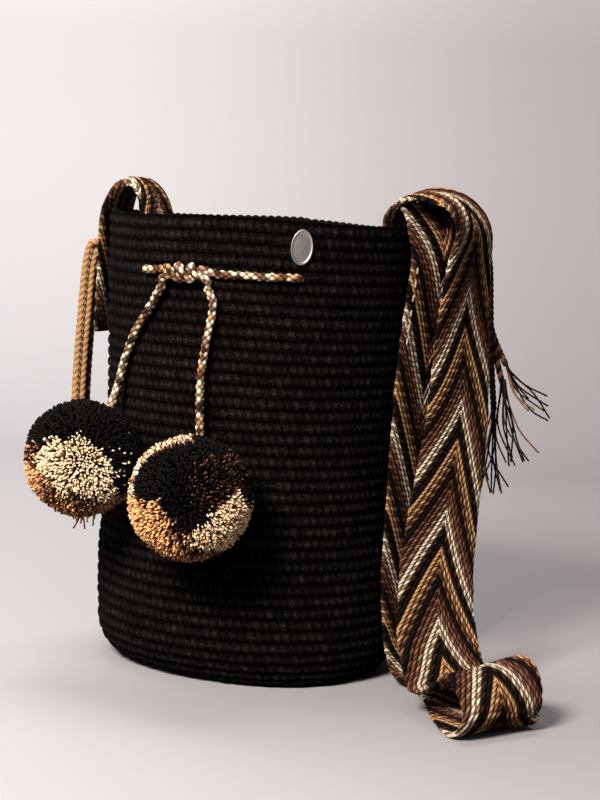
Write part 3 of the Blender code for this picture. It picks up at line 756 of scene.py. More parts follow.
def strap_frame():
    """Rows along the strap's middle: place, width direction, face direction and share of the width."""
    rows = smooth_path(strap_stations(), 0.0008)
    middle = rows[:, :3]
    tangent = unit(np.gradient(middle, axis=0))
    across = rows[:, 3:6]
    across = unit(across - tangent * np.sum(across * tangent, axis=1, keepdims=True))
    return np.hstack([middle, across, np.cross(tangent, across), rows[:, 6:]]), path_length(middle)


def on_strap(frame_rows, length, s):
    """The strap's rows at distances s along it, mixed in proportion from the row before and the row after."""
    index = np.clip(s, 0, length) / length * (len(frame_rows) - 1)
    low = np.clip(np.floor(index).astype(int), 0, len(frame_rows) - 2)
    mix = (index - low)[..., None]
    rows = frame_rows[low] * (1 - mix) + frame_rows[low + 1] * mix
    return rows[..., :3], rows[..., 3:6], rows[..., 6:9], rows[..., 9:]


def first_tip(frame_rows, length):
    """Distance along the strap at which its front layer reaches the height of a cream chevron's tip."""
    away = np.abs(frame_rows[:, 2] - CHEVRON_TIP_Z) + (frame_rows[:, 0] < 0.148)
    return np.argmin(away) / (len(frame_rows) - 1) * length


# Points across the strap, and how much of their spacing is drawn together towards its edges
STRAP_LANES = 41
LANE_CROWDING = 0.35


def make_strap(settings):
    """The folded band on a sheared grid, whose rows follow the chevrons so that each cordlet is round.

    A row's distance along the strap grows with the distance from the middle, by the chevrons' slope. The
    thickness is a power of a half sine over each cordlet, thinner at both edges and at the spine, where
    the cordlets turn. The edges go out and in with the cordlets' loops.
    """
    frame_rows, length = strap_frame()
    half = settings.strap_width / 2
    slope = 1 / math.tan(settings.chevron_angle)
    even = np.linspace(-1, 1, STRAP_LANES)
    lanes = np.sin(even * np.pi / 2) * LANE_CROWDING + even * (1 - LANE_CROWDING)
    lines = np.arange(-half * slope, length, settings.cordlet_pitch / 4)
    shift, lane = np.meshgrid(lines, lanes, indexing="ij")
    centre, side, out, share = on_strap(frame_rows, length, shift + np.abs(lane) * half * slope)
    place = (lines - first_tip(frame_rows, length)) / settings.cordlet_pitch + 1 + len(STRAP_ORDER) * 100
    number = np.floor(place + 0.125).astype(int)
    round_up = np.sin(np.pi * (place % 1.0))[:, None] ** 0.7
    edge = np.sqrt(np.clip(1 - np.abs(lane) ** 12, 0, 1)) * (1 - 0.2 * np.abs(lane) ** 4)
    edge = edge * (1 + 1.3 * (1 - share[..., 0]) * (side[..., 1] > 0.99))
    thick = STRAP_THICKNESS / 2 * edge * (0.60 + 0.50 * round_up) - 0.0004 * bell(lane, 0, 0.05)
    loops = 1 + 0.035 * (round_up - 0.6) * np.abs(lane) ** 6 + 0.03 * (hashed(number)[:, None] - 0.5)
    middle = centre + side * (lane * loops * half)[..., None] * share
    rise = out * thick[..., None]
    points = np.concatenate([middle + rise, (middle - rise)[:, ::-1]], axis=1)
    ring = points.shape[1]
    order = np.array([yarns(pair) for pair in STRAP_ORDER])[number % len(STRAP_ORDER)]
    tints = [np.repeat(order[:, None, k], ring, axis=1).reshape(-1, 3) for k in (0, 1)]
    run = lane * half / math.sin(settings.chevron_angle) * 1000
    u = np.concatenate([run, run[:, ::-1]], axis=1)
    v = np.repeat(place[:, None], ring, axis=1)
    uv = np.stack([u, v], axis=-1).reshape(-1, 2)
    caps = [strip_cap(0, ring), strip_cap((len(lines) - 1) * ring, ring)]
    quads = np.vstack([ring_faces(len(lines), ring)] + caps)
    return mesh_from_arrays("woven_strap", points.reshape(-1, 3), quads, tints[0], uv, tints[1]), length


def merged_tubes(name, tubes, shades=None):
    """One mesh from closed tubes, each given by its points, quads and caps, with one colour for each."""
    points, quads, triangles = [], [], []
    first = 0
    for verts, faces, caps in tubes:
        points.append(verts)
        quads.append(faces + first)
        triangles.append(caps[:, :3] + first)
        first += len(verts)
    tints = None
    if shades is not None:
        tints = np.vstack([np.tile(shade, (len(verts), 1)) for shade, verts in zip(shades, points)])
    return join_quads_and_triangles(name, np.vstack(points), np.vstack(quads), np.vstack(triangles), tints)


STITCHES = 6
STITCH_STEP = 0.0105
STITCH_LENGTH = 0.0055
STITCH_RADIUS = 0.0007
FIRST_STITCH_Z = BAG_HEIGHT - 0.0285
# The strap's left end lies straight on the wall from this height up
STRAP_START_Z = 0.238


def make_stitches(side, edge, settings):
    """A line of running stitch near one edge of the strap's end, on the face away from the bag.

    Each stitch is a short closed tube along the strap, and one lies at every even step of height.
    """
    frame_rows, length = strap_frame()
    distances = np.linspace(0, length, len(frame_rows))
    sewn = distances > 0.8 * length
    face = 1 if side == "left" else -1
    tubes = []
    for number in range(STITCHES):
        height = FIRST_STITCH_Z - number * STITCH_STEP
        if side == "left":
            start = height - STRAP_START_Z
        else:
            start = distances[sewn][np.argmin(np.abs(frame_rows[sewn, 2] - height))]
        marks = np.linspace(start, start - STITCH_LENGTH, 6)
        centre, across, out, share = on_strap(frame_rows, length, marks)
        line = centre + across * edge * 0.86 * settings.strap_width / 2 * share
        line = line + out * face * (STRAP_THICKNESS / 2 - 0.0001)
        tubes.append(tube(line, 6, lambda s, phi: STITCH_RADIUS + 0 * s, taper=STITCH_RADIUS)[:3])
    name = f"{side}_{'front' if edge < 0 else 'back'}_stitches"
    obj = merged_tubes(f"sewn_{name}", tubes)
    return finish_piece(obj, MATERIALS["thread"], "bag", [name])


def tuft_template():
    """A four-sided yarn end, one unit long: rings of four points, wider towards the cut tip."""
    angle = np.pi / 2 * np.arange(4)
    ring = np.stack([np.cos(angle), np.sin(angle)], axis=1)
    levels = [(0.55, 0.0), (1.0, 0.88), (0.80, 1.0)]
    points = np.vstack([np.column_stack([ring * r, np.full(4, h)]) for r, h in levels])
    quads = ring_faces(len(levels), 4)
    caps = np.array([[3, 2, 1, 0], [8, 9, 10, 11]])
    return points, np.vstack([quads, caps])


# Outlines of the yarn fields as they face the camera, in shares of the pompom's radius: right, up
LEFT_CREAM = (
    (-0.79, 0.04), (-0.60, 0.36), (-0.39, 0.46), (-0.22, 0.40), (-0.10, 0.50), (0.05, 0.53), (0.27, 0.36),
    (0.47, 0.19), (0.62, -0.07), (0.64, -0.32), (0.70, -0.62), (0.52, -0.72), (0.27, -0.59), (0.07, -0.54),
    (-0.13, -0.44), (-0.30, -0.60), (-0.47, -0.30), (-0.68, -0.19),
)
RIGHT_TAN = (
    (-1.2, 0.10), (-0.86, 0.02), (-0.74, -0.10), (-0.58, 0.02), (-0.44, 0.06), (-0.42, -0.10), (-0.24, -0.20),
    (-0.24, -0.32), (-0.36, -0.46), (-0.20, -0.58), (-0.10, -0.72), (0.02, -1.2), (-1.2, -1.2),
)
RIGHT_CREAM = (
    (0.02, -0.56), (0.10, -0.40), (0.30, -0.26), (0.42, -0.06), (0.58, 0.10), (0.76, 0.22), (0.92, 0.02),
    (1.2, -0.10), (1.2, -0.50), (0.84, -0.52), (0.66, -0.72), (0.42, -0.80), (0.20, -0.70),
)


def inside_outline(x, y, outline):
    """Whether each point lies inside a closed outline, by counting the sides to its right."""
    found = np.zeros(len(x), bool)
    for (x0, y0), (x1, y1) in zip(outline, outline[1:] + outline[:1]):
        crosses = (y0 > y) != (y1 > y)
        found ^= crosses & (x < (x1 - x0) * (y - y0) / (y1 - y0 + 1e-12) + x0)
    return found


def pompom_shade(side, d, rng):
    """Fields of yarn colour by direction: right, up and towards the viewer.

    Straight lines and outlines across the view bound the fields, later ones cover earlier ones, and a
    random shift of each direction roughens their borders.
    """
    a, b, c = d[:, 0], d[:, 1], d[:, 2]
    noise = rng.uniform(size=len(d))
    shade = np.tile(yarn("black"), (len(d), 1))
    speck = pick(yarns("brown dark_brown maroon black brown dark_brown tan"), noise)
    front = c > -0.25
    a2 = a + rng.normal(scale=0.03, size=len(d))
    b2 = b + rng.normal(scale=0.03, size=len(d))
    if side == "left":
        brown = b2 < -0.16 - 0.42 * (a2 + 0.7)
        brown |= (b2 < -0.50) | ((a2 < -0.70) & (b2 < 0.25) & (noise > 0.4))
        shade[brown] = speck[brown]
        tan = ((b2 < -0.70 + 0.15 * a2) & (noise > 0.3)) | ((a2 < -0.62) & (b2 < -0.12) & (b2 > -0.8))
        shade[tan] = pick(yarns("tan tan brown"), noise[tan]) * 1.25
        cream = inside_outline(a2, b2, LEFT_CREAM) & front
        shade[cream] = yarn("cream") * (0.92, 0.88, 0.80)
        light = (a2 > 0.45) & (a2 < 0.85) & (b2 > -0.5) & (b2 < 0.5) & (noise > 0.93)
        shade[light] = yarn("cream") * 0.8
    else:
        some = (a2 > 0.05) & (a2 < 0.85) & (b2 > 0.0) & (b2 < 0.75) & (noise > 0.45)
        shade[some] = pick(yarns("dark_brown maroon soft_black dark_brown"), (noise[some] - 0.45) / 0.55)
        brown = (b2 < -0.42 + 0.25 * np.abs(a2)) & (a2 > -0.45)
        shade[brown] = speck[brown]
        tan = inside_outline(a2, b2, RIGHT_TAN) & front
        shade[tan] = pick(yarns("tan tan tan tan brown"), noise[tan]) * 1.35
        low = (b2 < -0.86) & (a2 > -0.3) & front
        shade[low] = pick(yarns("tan brown maroon tan"), noise[low])
        cream = inside_outline(a2, b2, RIGHT_CREAM) & front
        shade[cream] = yarn("cream") * (0.98, 0.88, 0.76)
        rim = (a < 0.0) & (b > 0.0) & (c < 0.30) & (c > -0.5)
        shade[rim] = pick(yarns("cream brown cream tan maroon"), noise[rim])
    return shade * (0.7 + 0.6 * rng.uniform(size=(len(d), 1)))


def picture_axes():
    """The camera's level right direction and the direction from the bag to the camera."""
    right = np.array([math.cos(CAMERA_AZIMUTH), math.sin(CAMERA_AZIMUTH), 0.0])
    forward = np.array([-math.sin(CAMERA_AZIMUTH), math.cos(CAMERA_AZIMUTH), 0.0])
    return right, forward


# How much larger each pompom is than its solid, and how far it settles to the right
POMPOM_GROWTH = {"left": 1.0, "right": 1.035}
POMPOM_SETTLE = {"left": 0.0065, "right": 0.0040}
POMPOM_SEED = {"left": 7, "right": 11}
# Painted light along a yarn end: painted shade at its base, deep among the others, brighter near its cut, and a
# painted highlight at its cut
TUFT_PAINTED_LIGHT = (0.06, 1.05, 1.6)
CORE_ROWS = 14
CORE_RING = 24
# Painted shade on the core between the yarn ends: how dark its yarn colours are made
CORE_PAINTED_SHADE = 0.06


def make_pompom(side, settings):
    """Cut yarn ends all over a ball, on a core darkened to painted shade, with the crown where its cord enters.

    The directions follow a golden-angle spiral from pole to pole, a little shaken. Each yarn end is the
    template along its own tilted axis, and its tip lies at the ball's radius times a low wave, drawn in
    where it would meet the wall.
    """
    angle = LEFT_POMPOM_ANGLE if side == "left" else RIGHT_POMPOM_ANGLE
    lean_up = math.cos(POMPOM_LEAN) * UP - math.sin(POMPOM_LEAN) * around(angle, 1.0, 0.0)
    crown = tail_route(-1 if side == "left" else 1)[-1]
    right, forward = picture_axes()
    view = np.stack([right, UP, -forward], axis=1)
    size = POMPOM_RADIUS * POMPOM_GROWTH[side]
    centre = crown - lean_up * (POMPOM_RADIUS + CORD_RADIUS + 0.0004) + right * POMPOM_SETTLE[side]
    rng = np.random.default_rng(POMPOM_SEED[side])
    count = settings.pompom_tufts
    n = np.arange(count) + 0.5
    polar = np.arccos(1 - 2 * n / count)
    spin = np.pi * (1 + 5**0.5) * n
    direction = [np.cos(spin) * np.sin(polar), np.sin(spin) * np.sin(polar), np.cos(polar)]
    direction = np.stack(direction, axis=1)
    direction = unit(direction + rng.normal(scale=0.016, size=direction.shape))
    lump = 1 + 0.02 * np.sin(5 * direction[:, 0] + 2) * np.sin(6 * direction[:, 2] + 1)
    lump = np.minimum(lump + rng.normal(scale=0.017, size=count), 1.04)
    for _ in range(12):
        tip = centre + direction * (size * lump)[:, None]
        lump = np.where(np.hypot(tip[:, 0], tip[:, 1]) < BAG_RADIUS + 0.0012, lump * 0.98, lump)
    tilt = unit(direction + rng.normal(scale=0.13, size=direction.shape))
    e1 = unit(np.cross(tilt, np.where(np.abs(tilt[:, 2:]) < 0.9, UP, np.array([1.0, 0.0, 0.0]))))
    e2 = np.cross(tilt, e1)
    reach = settings.tuft_length
    wide = (settings.tuft_width / 2 * rng.uniform(0.85, 1.15, size=count))[:, None, None]
    base, quads = tuft_template()
    local = base[None, :, :1] * wide * e1[:, None] + base[None, :, 1:2] * wide * e2[:, None]
    local = local + base[None, :, 2:] * (reach * tilt[:, None])
    start = centre + direction * (size * lump - reach)[:, None]
    verts = (start[:, None] + local).reshape(-1, 3)
    faces = (quads[None] + (np.arange(count) * len(base))[:, None, None]).reshape(-1, 4)
    # Painted shade at each yarn end's base and a painted highlight at its cut tip
    light = np.repeat(TUFT_PAINTED_LIGHT, 4)[:, None]
    colours = (pompom_shade(side, direction @ view, rng)[:, None] * light).reshape(-1, 3)
    lat = np.linspace(0.02, np.pi - 0.02, CORE_ROWS)
    lon = 2 * np.pi * np.arange(CORE_RING) / CORE_RING
    lat, lon = np.meshgrid(lat, lon, indexing="ij")
    core = np.stack([np.sin(lat) * np.cos(lon), np.sin(lat) * np.sin(lon), np.cos(lat)], axis=-1).reshape(-1, 3)
    # The core's yarn colours darkened to painted shade between the yarn ends
    core_colours = pompom_shade(side, core @ view, rng) * CORE_PAINTED_SHADE
    first = len(verts)
    north = strip_cap(first, CORE_RING)
    south = strip_cap(first + (CORE_ROWS - 1) * CORE_RING, CORE_RING)[:, ::-1]
    faces = np.vstack([faces, ring_faces(CORE_ROWS, CORE_RING, first)[:, ::-1], north, south])
    verts = np.vstack([verts, centre + (size * 0.94 - reach * 0.75) * core])
    return mesh_from_arrays(f"{side}_yarn_pompom", verts, faces, np.vstack([colours, core_colours]))


LEFT_FRINGE = [
    (-0.1233, 0.0, 0.3050),
    (-0.1274, 0.0, 0.3048),
    (-0.1315, 0.0, 0.3015),
    (-0.1345, 0.0, 0.2850),
    (-0.1365, 0.0, 0.2500),
    (-0.1380, 0.0, 0.2150),
    (-0.1385, 0.0, 0.1850),
    (-0.1375, 0.0, 0.1500),
    (-0.1350, 0.0, 0.1180),
]
RIGHT_FRINGE = [
    (0.1230, 0.0220, 0.3160),
    (0.1272, 0.0245, 0.3175),
    (0.1320, 0.0420, 0.3230),
    (0.1390, 0.0520, 0.3290),
    (0.1450, 0.0585, 0.3290),
    (0.1505, 0.0610, 0.3180),
    (0.1545, 0.0620, 0.2980),
    (0.1580, 0.0620, 0.2720),
    (0.1660, 0.0615, 0.2480),
    (0.1770, 0.0600, 0.2270),
]
LEFT_SPREAD = [(0.0006, 0.0, -0.0225, 0.0), (0.0, 0.0036, -0.0176, -0.001), (0.0, 0.0046, -0.0100, 0.003)]
RIGHT_SPREAD = [(0.0, 0.0, 0.0, 0.0), (0.0, 0.0034, -0.0050, 0.0012), (0.0, 0.0068, -0.0098, 0.0024)]
# How far the last cords' lower ends hang away from the first one's
END_DROPS = {"left": (0.0, 0.0, 0.0), "right": (0.0, 0.014, 0.036)}


def fringe_route(route, offset, drop):
    """One fringe cord's path: the shared stops plus its own offset, with the lower end let down."""
    rows = np.array(route)
    away = np.ones((len(rows), 3))
    away[:, 0] = [0.0, 0.3] + [1.0] * (len(rows) - 2)
    rows = rows + away * np.array(offset[1:])
    rows[0, 0] += offset[0]
    rows[-3:] += np.array([[0.1], [0.5], [1.0]]) * np.array([-0.35 * drop, 0.0, -drop])
    return smooth_path(rows, 0.0005)


def two_ply(diameter, pitch):
    """Radius of two strands laid round each other: it grows with the unsigned cosine of the twist angle."""

    def radius(s, phi):
        lobe = np.abs(np.cos(phi - 2 * np.pi * s / pitch))
        return diameter / 2 * (0.80 + 0.20 * lobe)

    return radius


def ply_colour(shades, pitch):
    """Two strands' colours by the sign of the twist angle's cosine, with painted shade in the grooves and a
    fine grain.
    """
    first, second = yarns(shades)

    def colour(s, phi):
        lobe = np.cos(phi - 2 * np.pi * s / pitch)
        grain = 0.85 + 0.15 * np.sin(3 * phi + 14 * np.pi * s / pitch)
        # Painted shade in the grooves between the strands, a faint painted highlight on their crowns
        light = (0.35 + 0.75 * np.abs(lobe) ** 0.6) * grain
        return np.where((lobe > 0)[..., None], first, second) * light[..., None]

    return colour


def frayed_ends(name, starts, tips, shades, width):
    """Fine loose yarns from a cord's cut end to each tip, on smooth paths that sag and sway midway."""
    rng = np.random.default_rng(len(tips) + len(name))
    tubes = []
    for start, tip in zip(starts, tips):
        span = np.linalg.norm(tip - start)
        sway = rng.normal(scale=0.06, size=3) * span
        middle = (start * 0.5 + tip * 0.5) + sway - UP * 0.08 * span
        line = smooth_path([start, start * 0.75 + middle * 0.25 - UP * 0.04 * span, middle, tip], 0.0022)
        tubes.append(tube(line, 5, lambda s, phi: width / 2 * (1 + 0.2 * np.sin(s * 4000 + phi)))[:3])
    return merged_tubes(name, tubes, [shades[k % len(shades)] for k in range(len(tubes))])


# Where the loose ends of each right cord hang to, and how they lean
RIGHT_TIPS = ((0.1990, 0.0640, 0.1960), (0.1900, 0.0640, 0.1480), (0.1740, 0.0620, 0.1180))
LONGEST_LOOSE_END = 0.063
LEFT_TIPS = ((-0.1400, -0.0050, 0.0900), (-0.1340, -0.0030, 0.0900), (-0.1300, 0.0000, 0.0940))


def make_fringe(side, number, route, spread, shades, settings):
    """One twisted cord and the loose yarns at its end, both on the bag, with the CAD fringe hidden."""
    points = fringe_route(route, spread, END_DROPS[side][number - 1])
    pitch = 0.0100 if side == "left" else 0.0085
    thick = 0.0056 if side == "left" else 0.0050
    name = f"{side}_twisted_fringe_{number}"
    obj = tube_object(name, points, 12, two_ply(thick, pitch), ply_colour(shades, pitch), taper=0.0016)
    finish_piece(obj, MATERIALS["yarn"], "bag", [f"{side}_fringe_{number}"])
    goal = np.array((RIGHT_TIPS if side == "right" else LEFT_TIPS)[number - 1])
    rng = np.random.default_rng(number + (20 if side == "right" else 3))
    starts, tips = [], []
    for _ in range(settings.loose_ends):
        starts.append(points[-1] + rng.normal(scale=0.0009, size=3) + UP * 0.002)
        span = goal + rng.normal(scale=0.0075 if side == "right" else 0.004, size=3) - points[-1]
        tips.append(points[-1] + span * min(1.0, LONGEST_LOOSE_END / np.linalg.norm(span)))
    tints = yarns("soft_black dark_brown black brown" if side == "right" else "cream brown tan")
    ends = frayed_ends(f"{side}_loose_ends_{number}", starts, tips, tints, 0.0014)
    finish_piece(ends, MATERIALS["yarn"], "bag", [])
    return obj


BADGE_HALF_WIDTH = 0.008
BADGE_HALF_HEIGHT = 0.0125
# The plate from its middle over the rim to its back edge: share of the half width, and height
BADGE_PROFILE = (
    (0.0, 0.00085),
    (0.3, 0.00083),
    (0.6, 0.00072),
    (0.80, 0.00055),
    (0.85, 0.00062),
    (0.89, 0.00105),
    (0.93, 0.00122),
    (0.97, 0.00105),
    (1.0, 0.0005),
    (0.985, 0.0),
)
# One prong from the side: depth behind the plate, and distance along it
PRONG_OUTLINE = (
    (-0.0006, -0.0004),
    (0.0074, -0.0004),
    (0.0074, 0.0045),
    (0.0066, 0.0045),
    (0.0066, 0.0004),
    (-0.0006, 0.0004),
)
PRONG_SIDES = ((0, 1, 4, 5), (1, 2, 3, 4), (6, 7, 10, 11), (7, 8, 9, 10))
PRONG_HALF_WIDTH = 0.0012


def make_badge():
    """A slightly domed oval plate with a raised round rim and two prongs bent over inside the wall.

    Each ring of the plate is an oval: the half width times the cosine and the half height times the sine
    of the angle, both times the profile's share, at the profile's height.
    """
    steps = 72
    angle = 2 * np.pi * np.arange(steps) / steps
    oval = np.column_stack([BADGE_HALF_WIDTH * np.cos(angle), 0 * angle, BADGE_HALF_HEIGHT * np.sin(angle)])
    lift = np.array([0.0, 1.0, 0.0])
    rings = [oval * share + lift * height for share, height in BADGE_PROFILE[1:]]
    points = np.vstack(rings + [lift * BADGE_PROFILE[0][1], lift * 0])
    count = len(rings)
    quads = ring_faces(count, steps)
    j = np.arange(steps)
    k = (j + 1) % steps
    last = (count - 1) * steps
    front = np.stack([k, j, np.full(steps, count * steps)], axis=1)
    back = np.stack([last + j, last + k, np.full(steps, count * steps + 1)], axis=1)
    i = np.arange(6)
    n = (i + 1) % 6
    prong_faces = np.vstack([np.stack([i, n, 6 + n, 6 + i], axis=1), PRONG_SIDES])
    for side in (-1, 1):
        quads = np.vstack([quads, len(points) + prong_faces])
        for x in (-PRONG_HALF_WIDTH, PRONG_HALF_WIDTH):
            outline = [(x, -y - 0.0001, side * (z + BADGE_HALF_HEIGHT / 2)) for y, z in PRONG_OUTLINE]
            points = np.vstack([points, outline])
    tilt = math.radians(-3)
    x = points[:, 0] * math.cos(tilt) - points[:, 2] * math.sin(tilt)
    z = points[:, 0] * math.sin(tilt) + points[:, 2] * math.cos(tilt)
    world = around(BADGE_ANGLE, BAG_RADIUS + 0.0006, BADGE_Z) + x[:, None] * tangent_at(BADGE_ANGLE)
    world = world + points[:, 1:2] * around(BADGE_ANGLE, 1.0, 0.0) + z[:, None] * UP
    return join_quads_and_triangles("oval_badge", world, quads, np.vstack([front, back]), None)


def recalculated(obj):
    """Makes a closed mesh's faces point outwards."""
    shape = bmesh.new()
    shape.from_mesh(obj.data)
    bmesh.ops.recalc_face_normals(shape, faces=shape.faces)
    shape.to_mesh(obj.data)
    shape.free()
    return obj


# Materials by name, made before the pieces that use them
MATERIALS = {}


class MochilaSettings(bpy.types.PropertyGroup):
    """Sizes and colours of the yarn work that a user may change."""

    stitches: bpy.props.IntProperty(
        name="Stitches a round",
        description="Crochet stitches in one round of the bag",
        default=118,
        min=60,
        max=124,
    )
    row_pitch: bpy.props.FloatProperty(
        name="Row pitch",
        description="Height of one crochet row",
        default=0.0081,
        unit="LENGTH",
    )
    row_depth: bpy.props.FloatProperty(
        name="Row depth",
        description="How deep the valleys between rows are",
        default=0.0016,
        unit="LENGTH",
    )
    strap_width: bpy.props.FloatProperty(
        name="Strap width",
        description="Width of the woven strap",
        default=0.070,
        unit="LENGTH",
    )
    cordlet_pitch: bpy.props.FloatProperty(
        name="Cordlet pitch",
        description="Spacing of the strap's cordlets along its middle",
        default=0.00757,
        unit="LENGTH",
    )
    chevron_angle: bpy.props.FloatProperty(
        name="Chevron angle",
        description="Angle of a chevron's arms from the strap's length",
        default=math.radians(27.8),
        unit="ROTATION",
    )
    pompom_tufts: bpy.props.IntProperty(
        name="Pompom tufts",
        description="Cut yarn ends in one pompom",
        default=7000,
        min=500,
        max=8000,
    )
    tuft_length: bpy.props.FloatProperty(
        name="Tuft length",
        description="Length of a pompom's yarn ends that shows",
        default=0.011,
        unit="LENGTH",
    )
    tuft_width: bpy.props.FloatProperty(
        name="Tuft width",
        description="Width of one cut yarn end",
        default=0.0015,
        unit="LENGTH",
    )
    loose_ends: bpy.props.IntProperty(
        name="Loose ends",
        description="Fine yarns at the end of a fringe cord",
        default=9,
        min=1,
        max=30,
    )
    body_black: bpy.props.FloatVectorProperty(
        name="Body black",
        description="Yarn of the bag's body",
        default=(0.0066, 0.0048, 0.0042),
        subtype="COLOR",
    )
    black: bpy.props.FloatVectorProperty(
        name="Black",
        description="Black yarn of the strap and pompoms",
        default=(0.0046, 0.0034, 0.0030),
        subtype="COLOR",
    )
    soft_black: bpy.props.FloatVectorProperty(
        name="Soft black",
        description="Faded black yarn",
        default=(0.010, 0.0065, 0.0048),
        subtype="COLOR",
    )
    dark_brown: bpy.props.FloatVectorProperty(
        name="Dark brown",
        description="Darkest brown yarn",
        default=(0.040, 0.018, 0.010),
        subtype="COLOR",
    )
    maroon: bpy.props.FloatVectorProperty(
        name="Maroon",
        description="Red-brown yarn",
        default=(0.130, 0.046, 0.028),
        subtype="COLOR",
    )
    brown: bpy.props.FloatVectorProperty(
        name="Brown",
        description="Middle brown yarn",
        default=(0.20, 0.090, 0.042),
        subtype="COLOR",
    )
    light_brown: bpy.props.FloatVectorProperty(
        name="Light brown",
        description="Light brown yarn",
        default=(0.32, 0.17, 0.095),
        subtype="COLOR",
    )
    tan: bpy.props.FloatVectorProperty(
        name="Tan",
        description="Tan yarn",
        default=(0.55, 0.285, 0.120),
        subtype="COLOR",
    )
    cream: bpy.props.FloatVectorProperty(
        name="Cream",
        description="Pale yarn",
        default=(0.77, 0.62, 0.445),
        subtype="COLOR",
    )
    thread: bpy.props.FloatVectorProperty(
        name="Thread",
        description="Thread of the strap's stitches",
        default=(0.46, 0.38, 0.28),
        subtype="COLOR",
    )
    metal: bpy.props.FloatVectorProperty(
        name="Metal",
        description="Metal of the badge",
        default=(0.40, 0.365, 0.34),
        subtype="COLOR",
    )


class MOCHILA_OT_materials(bpy.types.Operator):
    """Make the yarn and metal materials."""

    bl_idname = "mochila.materials"
    bl_label = "Materials"
    bl_options = {"REGISTER", "UNDO"}

    def execute(self, context):
        settings = context.scene.mochila
        MATERIALS["black"] = yarn_material("fuzzy_black_yarn", fuzz=900.0, contrast=1.0, bump=0.9, shine=0.02)
        MATERIALS["yarn"] = yarn_material("spun_yarn", fuzz=1600.0, contrast=0.25)
        MATERIALS["weave"] = yarn_material("twisted_cordlets", fuzz=1500.0, contrast=0.3, bump=0.8, twist=True)
        MATERIALS["thread"] = yarn_material("cream_thread", fuzz=2500.0, contrast=0.2, colour=settings.thread)
        MATERIALS["metal"] = metal_material(settings.metal)
        return {"FINISHED"}


class MOCHILA_OT_body(bpy.types.Operator):
    """Build the crocheted body."""

    bl_idname = "mochila.body"
    bl_label = "Body"
    bl_options = {"REGISTER", "UNDO"}

    def execute(self, context):
        obj = make_body(context.scene.mochila)
        finish_piece(obj, MATERIALS["black"], "bag", ["bag_body"])
        return {"FINISHED"}


class MOCHILA_OT_drawstring(bpy.types.Operator):
    """Build the drawstring with its half knot, and its two tails."""

    bl_idname = "mochila.drawstring"
    bl_label = "Drawstring"
    bl_options = {"REGISTER", "UNDO"}

    def execute(self, context):
        route = smooth_path(drawstring_route(), 0.0006)
        braided("braided_drawstring", route, "bag", ["drawstring"])
        for side, direction in (("left", -1), ("right", 1)):
            points = with_round_ends(tail_route(direction))
            braided(f"{side}_braided_tail", points, f"{side}_tail", [f"{side}_tail"])
        return {"FINISHED"}


class MOCHILA_OT_pompoms(bpy.types.Operator):
    """Build both pompoms from cut yarn ends."""

    bl_idname = "mochila.pompoms"
    bl_label = "Pompoms"
    bl_options = {"REGISTER", "UNDO"}

    def execute(self, context):
        for side in ("left", "right"):
            obj = make_pompom(side, context.scene.mochila)
            finish_piece(obj, MATERIALS["yarn"], f"{side}_pompom", [f"{side}_pompom"])
        return {"FINISHED"}


class MOCHILA_OT_strap(bpy.types.Operator):
    """Build the woven strap and finish the stitches that hold its ends."""

    bl_idname = "mochila.strap"
    bl_label = "Strap"
    bl_options = {"REGISTER", "UNDO"}

    def execute(self, context):
        settings = context.scene.mochila
        obj, length = make_strap(settings)
        recalculated(obj)
        finish_piece(obj, MATERIALS["weave"], "bag", ["strap"])
        for side in ("left", "right"):
            for edge in (-1, 1):
                make_stitches(side, edge, settings)
        return {"FINISHED"}


class MOCHILA_OT_fringes(bpy.types.Operator):
    """Build the twisted fringe cords and their loose ends."""

    bl_idname = "mochila.fringes"
    bl_label = "Fringes"
    bl_options = {"REGISTER", "UNDO"}

    def execute(self, context):
        settings = context.scene.mochila
        left = ("tan tan", "tan tan", "dark_brown brown")
        right = ("dark_brown brown", "brown soft_black", "soft_black dark_brown")
        for number in range(3):
            make_fringe("left", number + 1, LEFT_FRINGE, LEFT_SPREAD[number], left[number], settings)
            make_fringe("right", number + 1, RIGHT_FRINGE, RIGHT_SPREAD[number], right[number], settings)
        return {"FINISHED"}


class MOCHILA_OT_badge(bpy.types.Operator):
    """Build the plain oval badge."""

    bl_idname = "mochila.badge"
    bl_label = "Badge"
    bl_options = {"REGISTER", "UNDO"}

    def execute(self, context):
        obj = recalculated(make_badge())
        finish_piece(obj, MATERIALS["metal"], "bag", ["badge"])
        return {"FINISHED"}


class MOCHILA_OT_stage(bpy.types.Operator):
    """Build the floor, the backdrop, the lights and the camera."""

    bl_idname = "mochila.stage"
    bl_label = "Stage"
    bl_options = {"REGISTER", "UNDO"}

    def execute(self, context):
        right, forward = picture_axes()
        make_backdrop(right, forward)
        make_lights(right, forward)
        make_camera(right, forward)
        return {"FINISHED"}


# Points across the paper, and half its width
PAPER_COLUMNS = 9
PAPER_HALF_WIDTH = 3.2
# The paper's colours at its left and right, with painted light: brighter at the left, darker at the right
PAPER_LIT_LEFT = (0.620, 0.598, 0.608, 1.0)
PAPER_SHADED_RIGHT = (0.398, 0.358, 0.362, 1.0)
# The paper's colour for the light that it throws on the bag
PAPER_BOUNCE = (0.10, 0.09, 0.085, 1.0)


